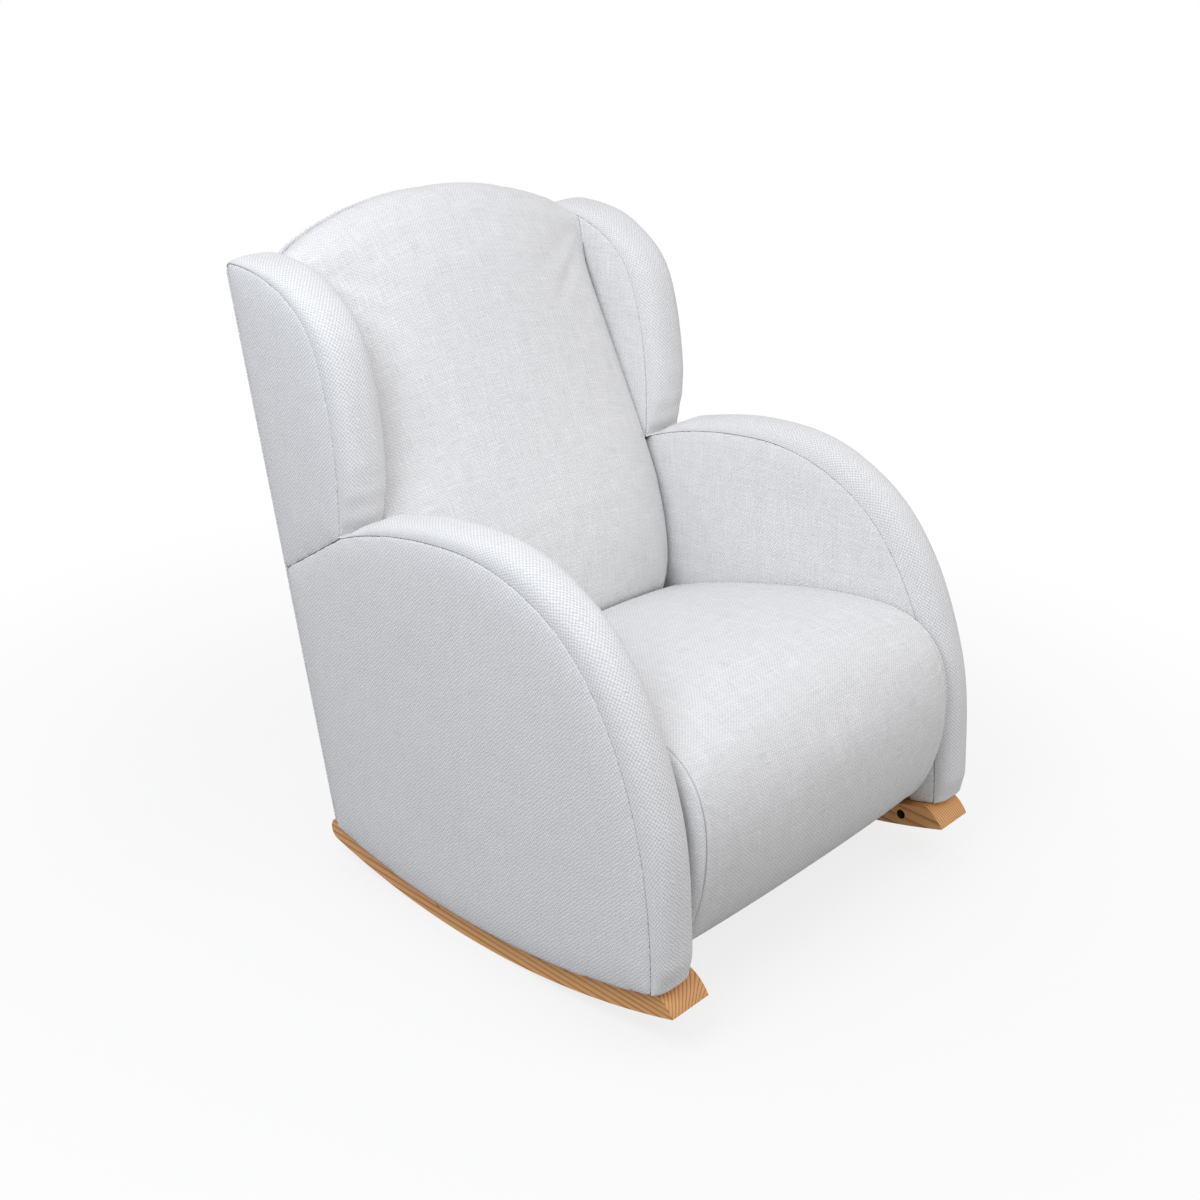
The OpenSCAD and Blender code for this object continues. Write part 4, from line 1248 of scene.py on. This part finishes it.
def area_light(name, place, target, size, watts, tint=(1, 1, 1)):
    lamp = bpy.data.lights.new(name, "AREA")
    lamp.shape, lamp.size, lamp.energy, lamp.color = "DISK", size, watts, tint
    holder = bpy.data.objects.new(name, lamp)
    holder.location = place
    holder.rotation_euler = (Vector(target) - Vector(place)).to_track_quat("-Z", "Y").to_euler()
    bpy.context.scene.collection.objects.link(holder)


def make_lights():
    area_light("softbox_top", (0.4, -1.8, 2.7), (0, 0, 0.4), 2.6, 9.4)
    area_light("softbox_front", (1.8, -2.6, 1.5), (0, 0, 0.5), 2.0, 9)
    area_light("fill_left", (-1.7, -0.3, 2.3), (0, 0, 1.0), 1.3, 27, (0.86, 0.92, 1.0))
    world = bpy.data.worlds.new("studio")
    bpy.context.scene.world = world
    world.use_nodes = True
    tree = world.node_tree
    background = tree.nodes["Background"]
    start = Shade(tree, background.outputs[0])
    background.inputs["Color"].default_value = (0.985, 0.975, 1.0, 1)
    background.inputs["Strength"].default_value = 0.61
    white = start.node("ShaderNodeBackground", Color=(1, 1, 1, 1), Strength=1.0)
    both = start.node("ShaderNodeMixShader", i0=seen_directly(start), i1=start, i2=white)
    tree.links.new(both.socket, tree.nodes["World Output"].inputs["Surface"])


def make_camera():
    """The photograph's view: the camera stands as it did to the level chair, and rolls back with it."""
    data = bpy.data.cameras.new("view")
    data.sensor_width = 36
    data.lens = 51.826
    data.shift_y = -0.125
    camera = bpy.data.objects.new("view", data)
    place = Vector((-1.8227, -1.5423, 1.4160))
    azimuth, elevation = math.radians(47.64), math.radians(17.57)
    flat = math.cos(elevation)
    look = Vector((math.sin(azimuth) * flat, math.cos(azimuth) * flat, -math.sin(elevation)))
    level = Matrix.Translation(place) @ look.to_track_quat("-Z", "Y").to_matrix().to_4x4()
    camera.matrix_world = rest() @ level
    bpy.context.scene.collection.objects.link(camera)
    bpy.context.scene.camera = camera


OPERATORS = (
    CHAIR_OT_finishes,
    CHAIR_OT_stage,
    CHAIR_OT_rockers,
    CHAIR_OT_arm_bands,
    CHAIR_OT_wing_bands,
    CHAIR_OT_side_covers,
    CHAIR_OT_rear_cover,
    CHAIR_OT_seat_cushion,
    CHAIR_OT_back_cushion,
    CHAIR_OT_lining,
)


class CHAIR_PT_panel(bpy.types.Panel):
    """The chair's pieces and sizes"""

    bl_label = "Rocking Chair"
    bl_idname = "CHAIR_PT_panel"
    bl_space_type = "VIEW_3D"
    bl_region_type = "UI"
    bl_category = "Rocking Chair"

    def draw(self, context):
        for operator in OPERATORS:
            self.layout.operator(operator.bl_idname)
        for group in (context.scene.rocking_chair, context.scene.rocking_chair_finishes):
            for name in group.bl_rna.properties.keys():
                if name not in ("rna_type", "name"):
                    self.layout.prop(group, name)


CLASSES = (ChairSizes, ChairFinishes, *OPERATORS, CHAIR_PT_panel)


def register():
    for cls in CLASSES:
        bpy.utils.register_class(cls)
    bpy.types.Scene.rocking_chair = bpy.props.PointerProperty(type=ChairSizes)
    bpy.types.Scene.rocking_chair_finishes = bpy.props.PointerProperty(type=ChairFinishes)


def unregister():
    del bpy.types.Scene.rocking_chair_finishes
    del bpy.types.Scene.rocking_chair
    for cls in reversed(CLASSES):
        bpy.utils.unregister_class(cls)


def main():
    register()
    for operator in OPERATORS:
        group, name = operator.bl_idname.split(".")
        getattr(getattr(bpy.ops, group), name)()


if __name__ == "__main__":
    main()
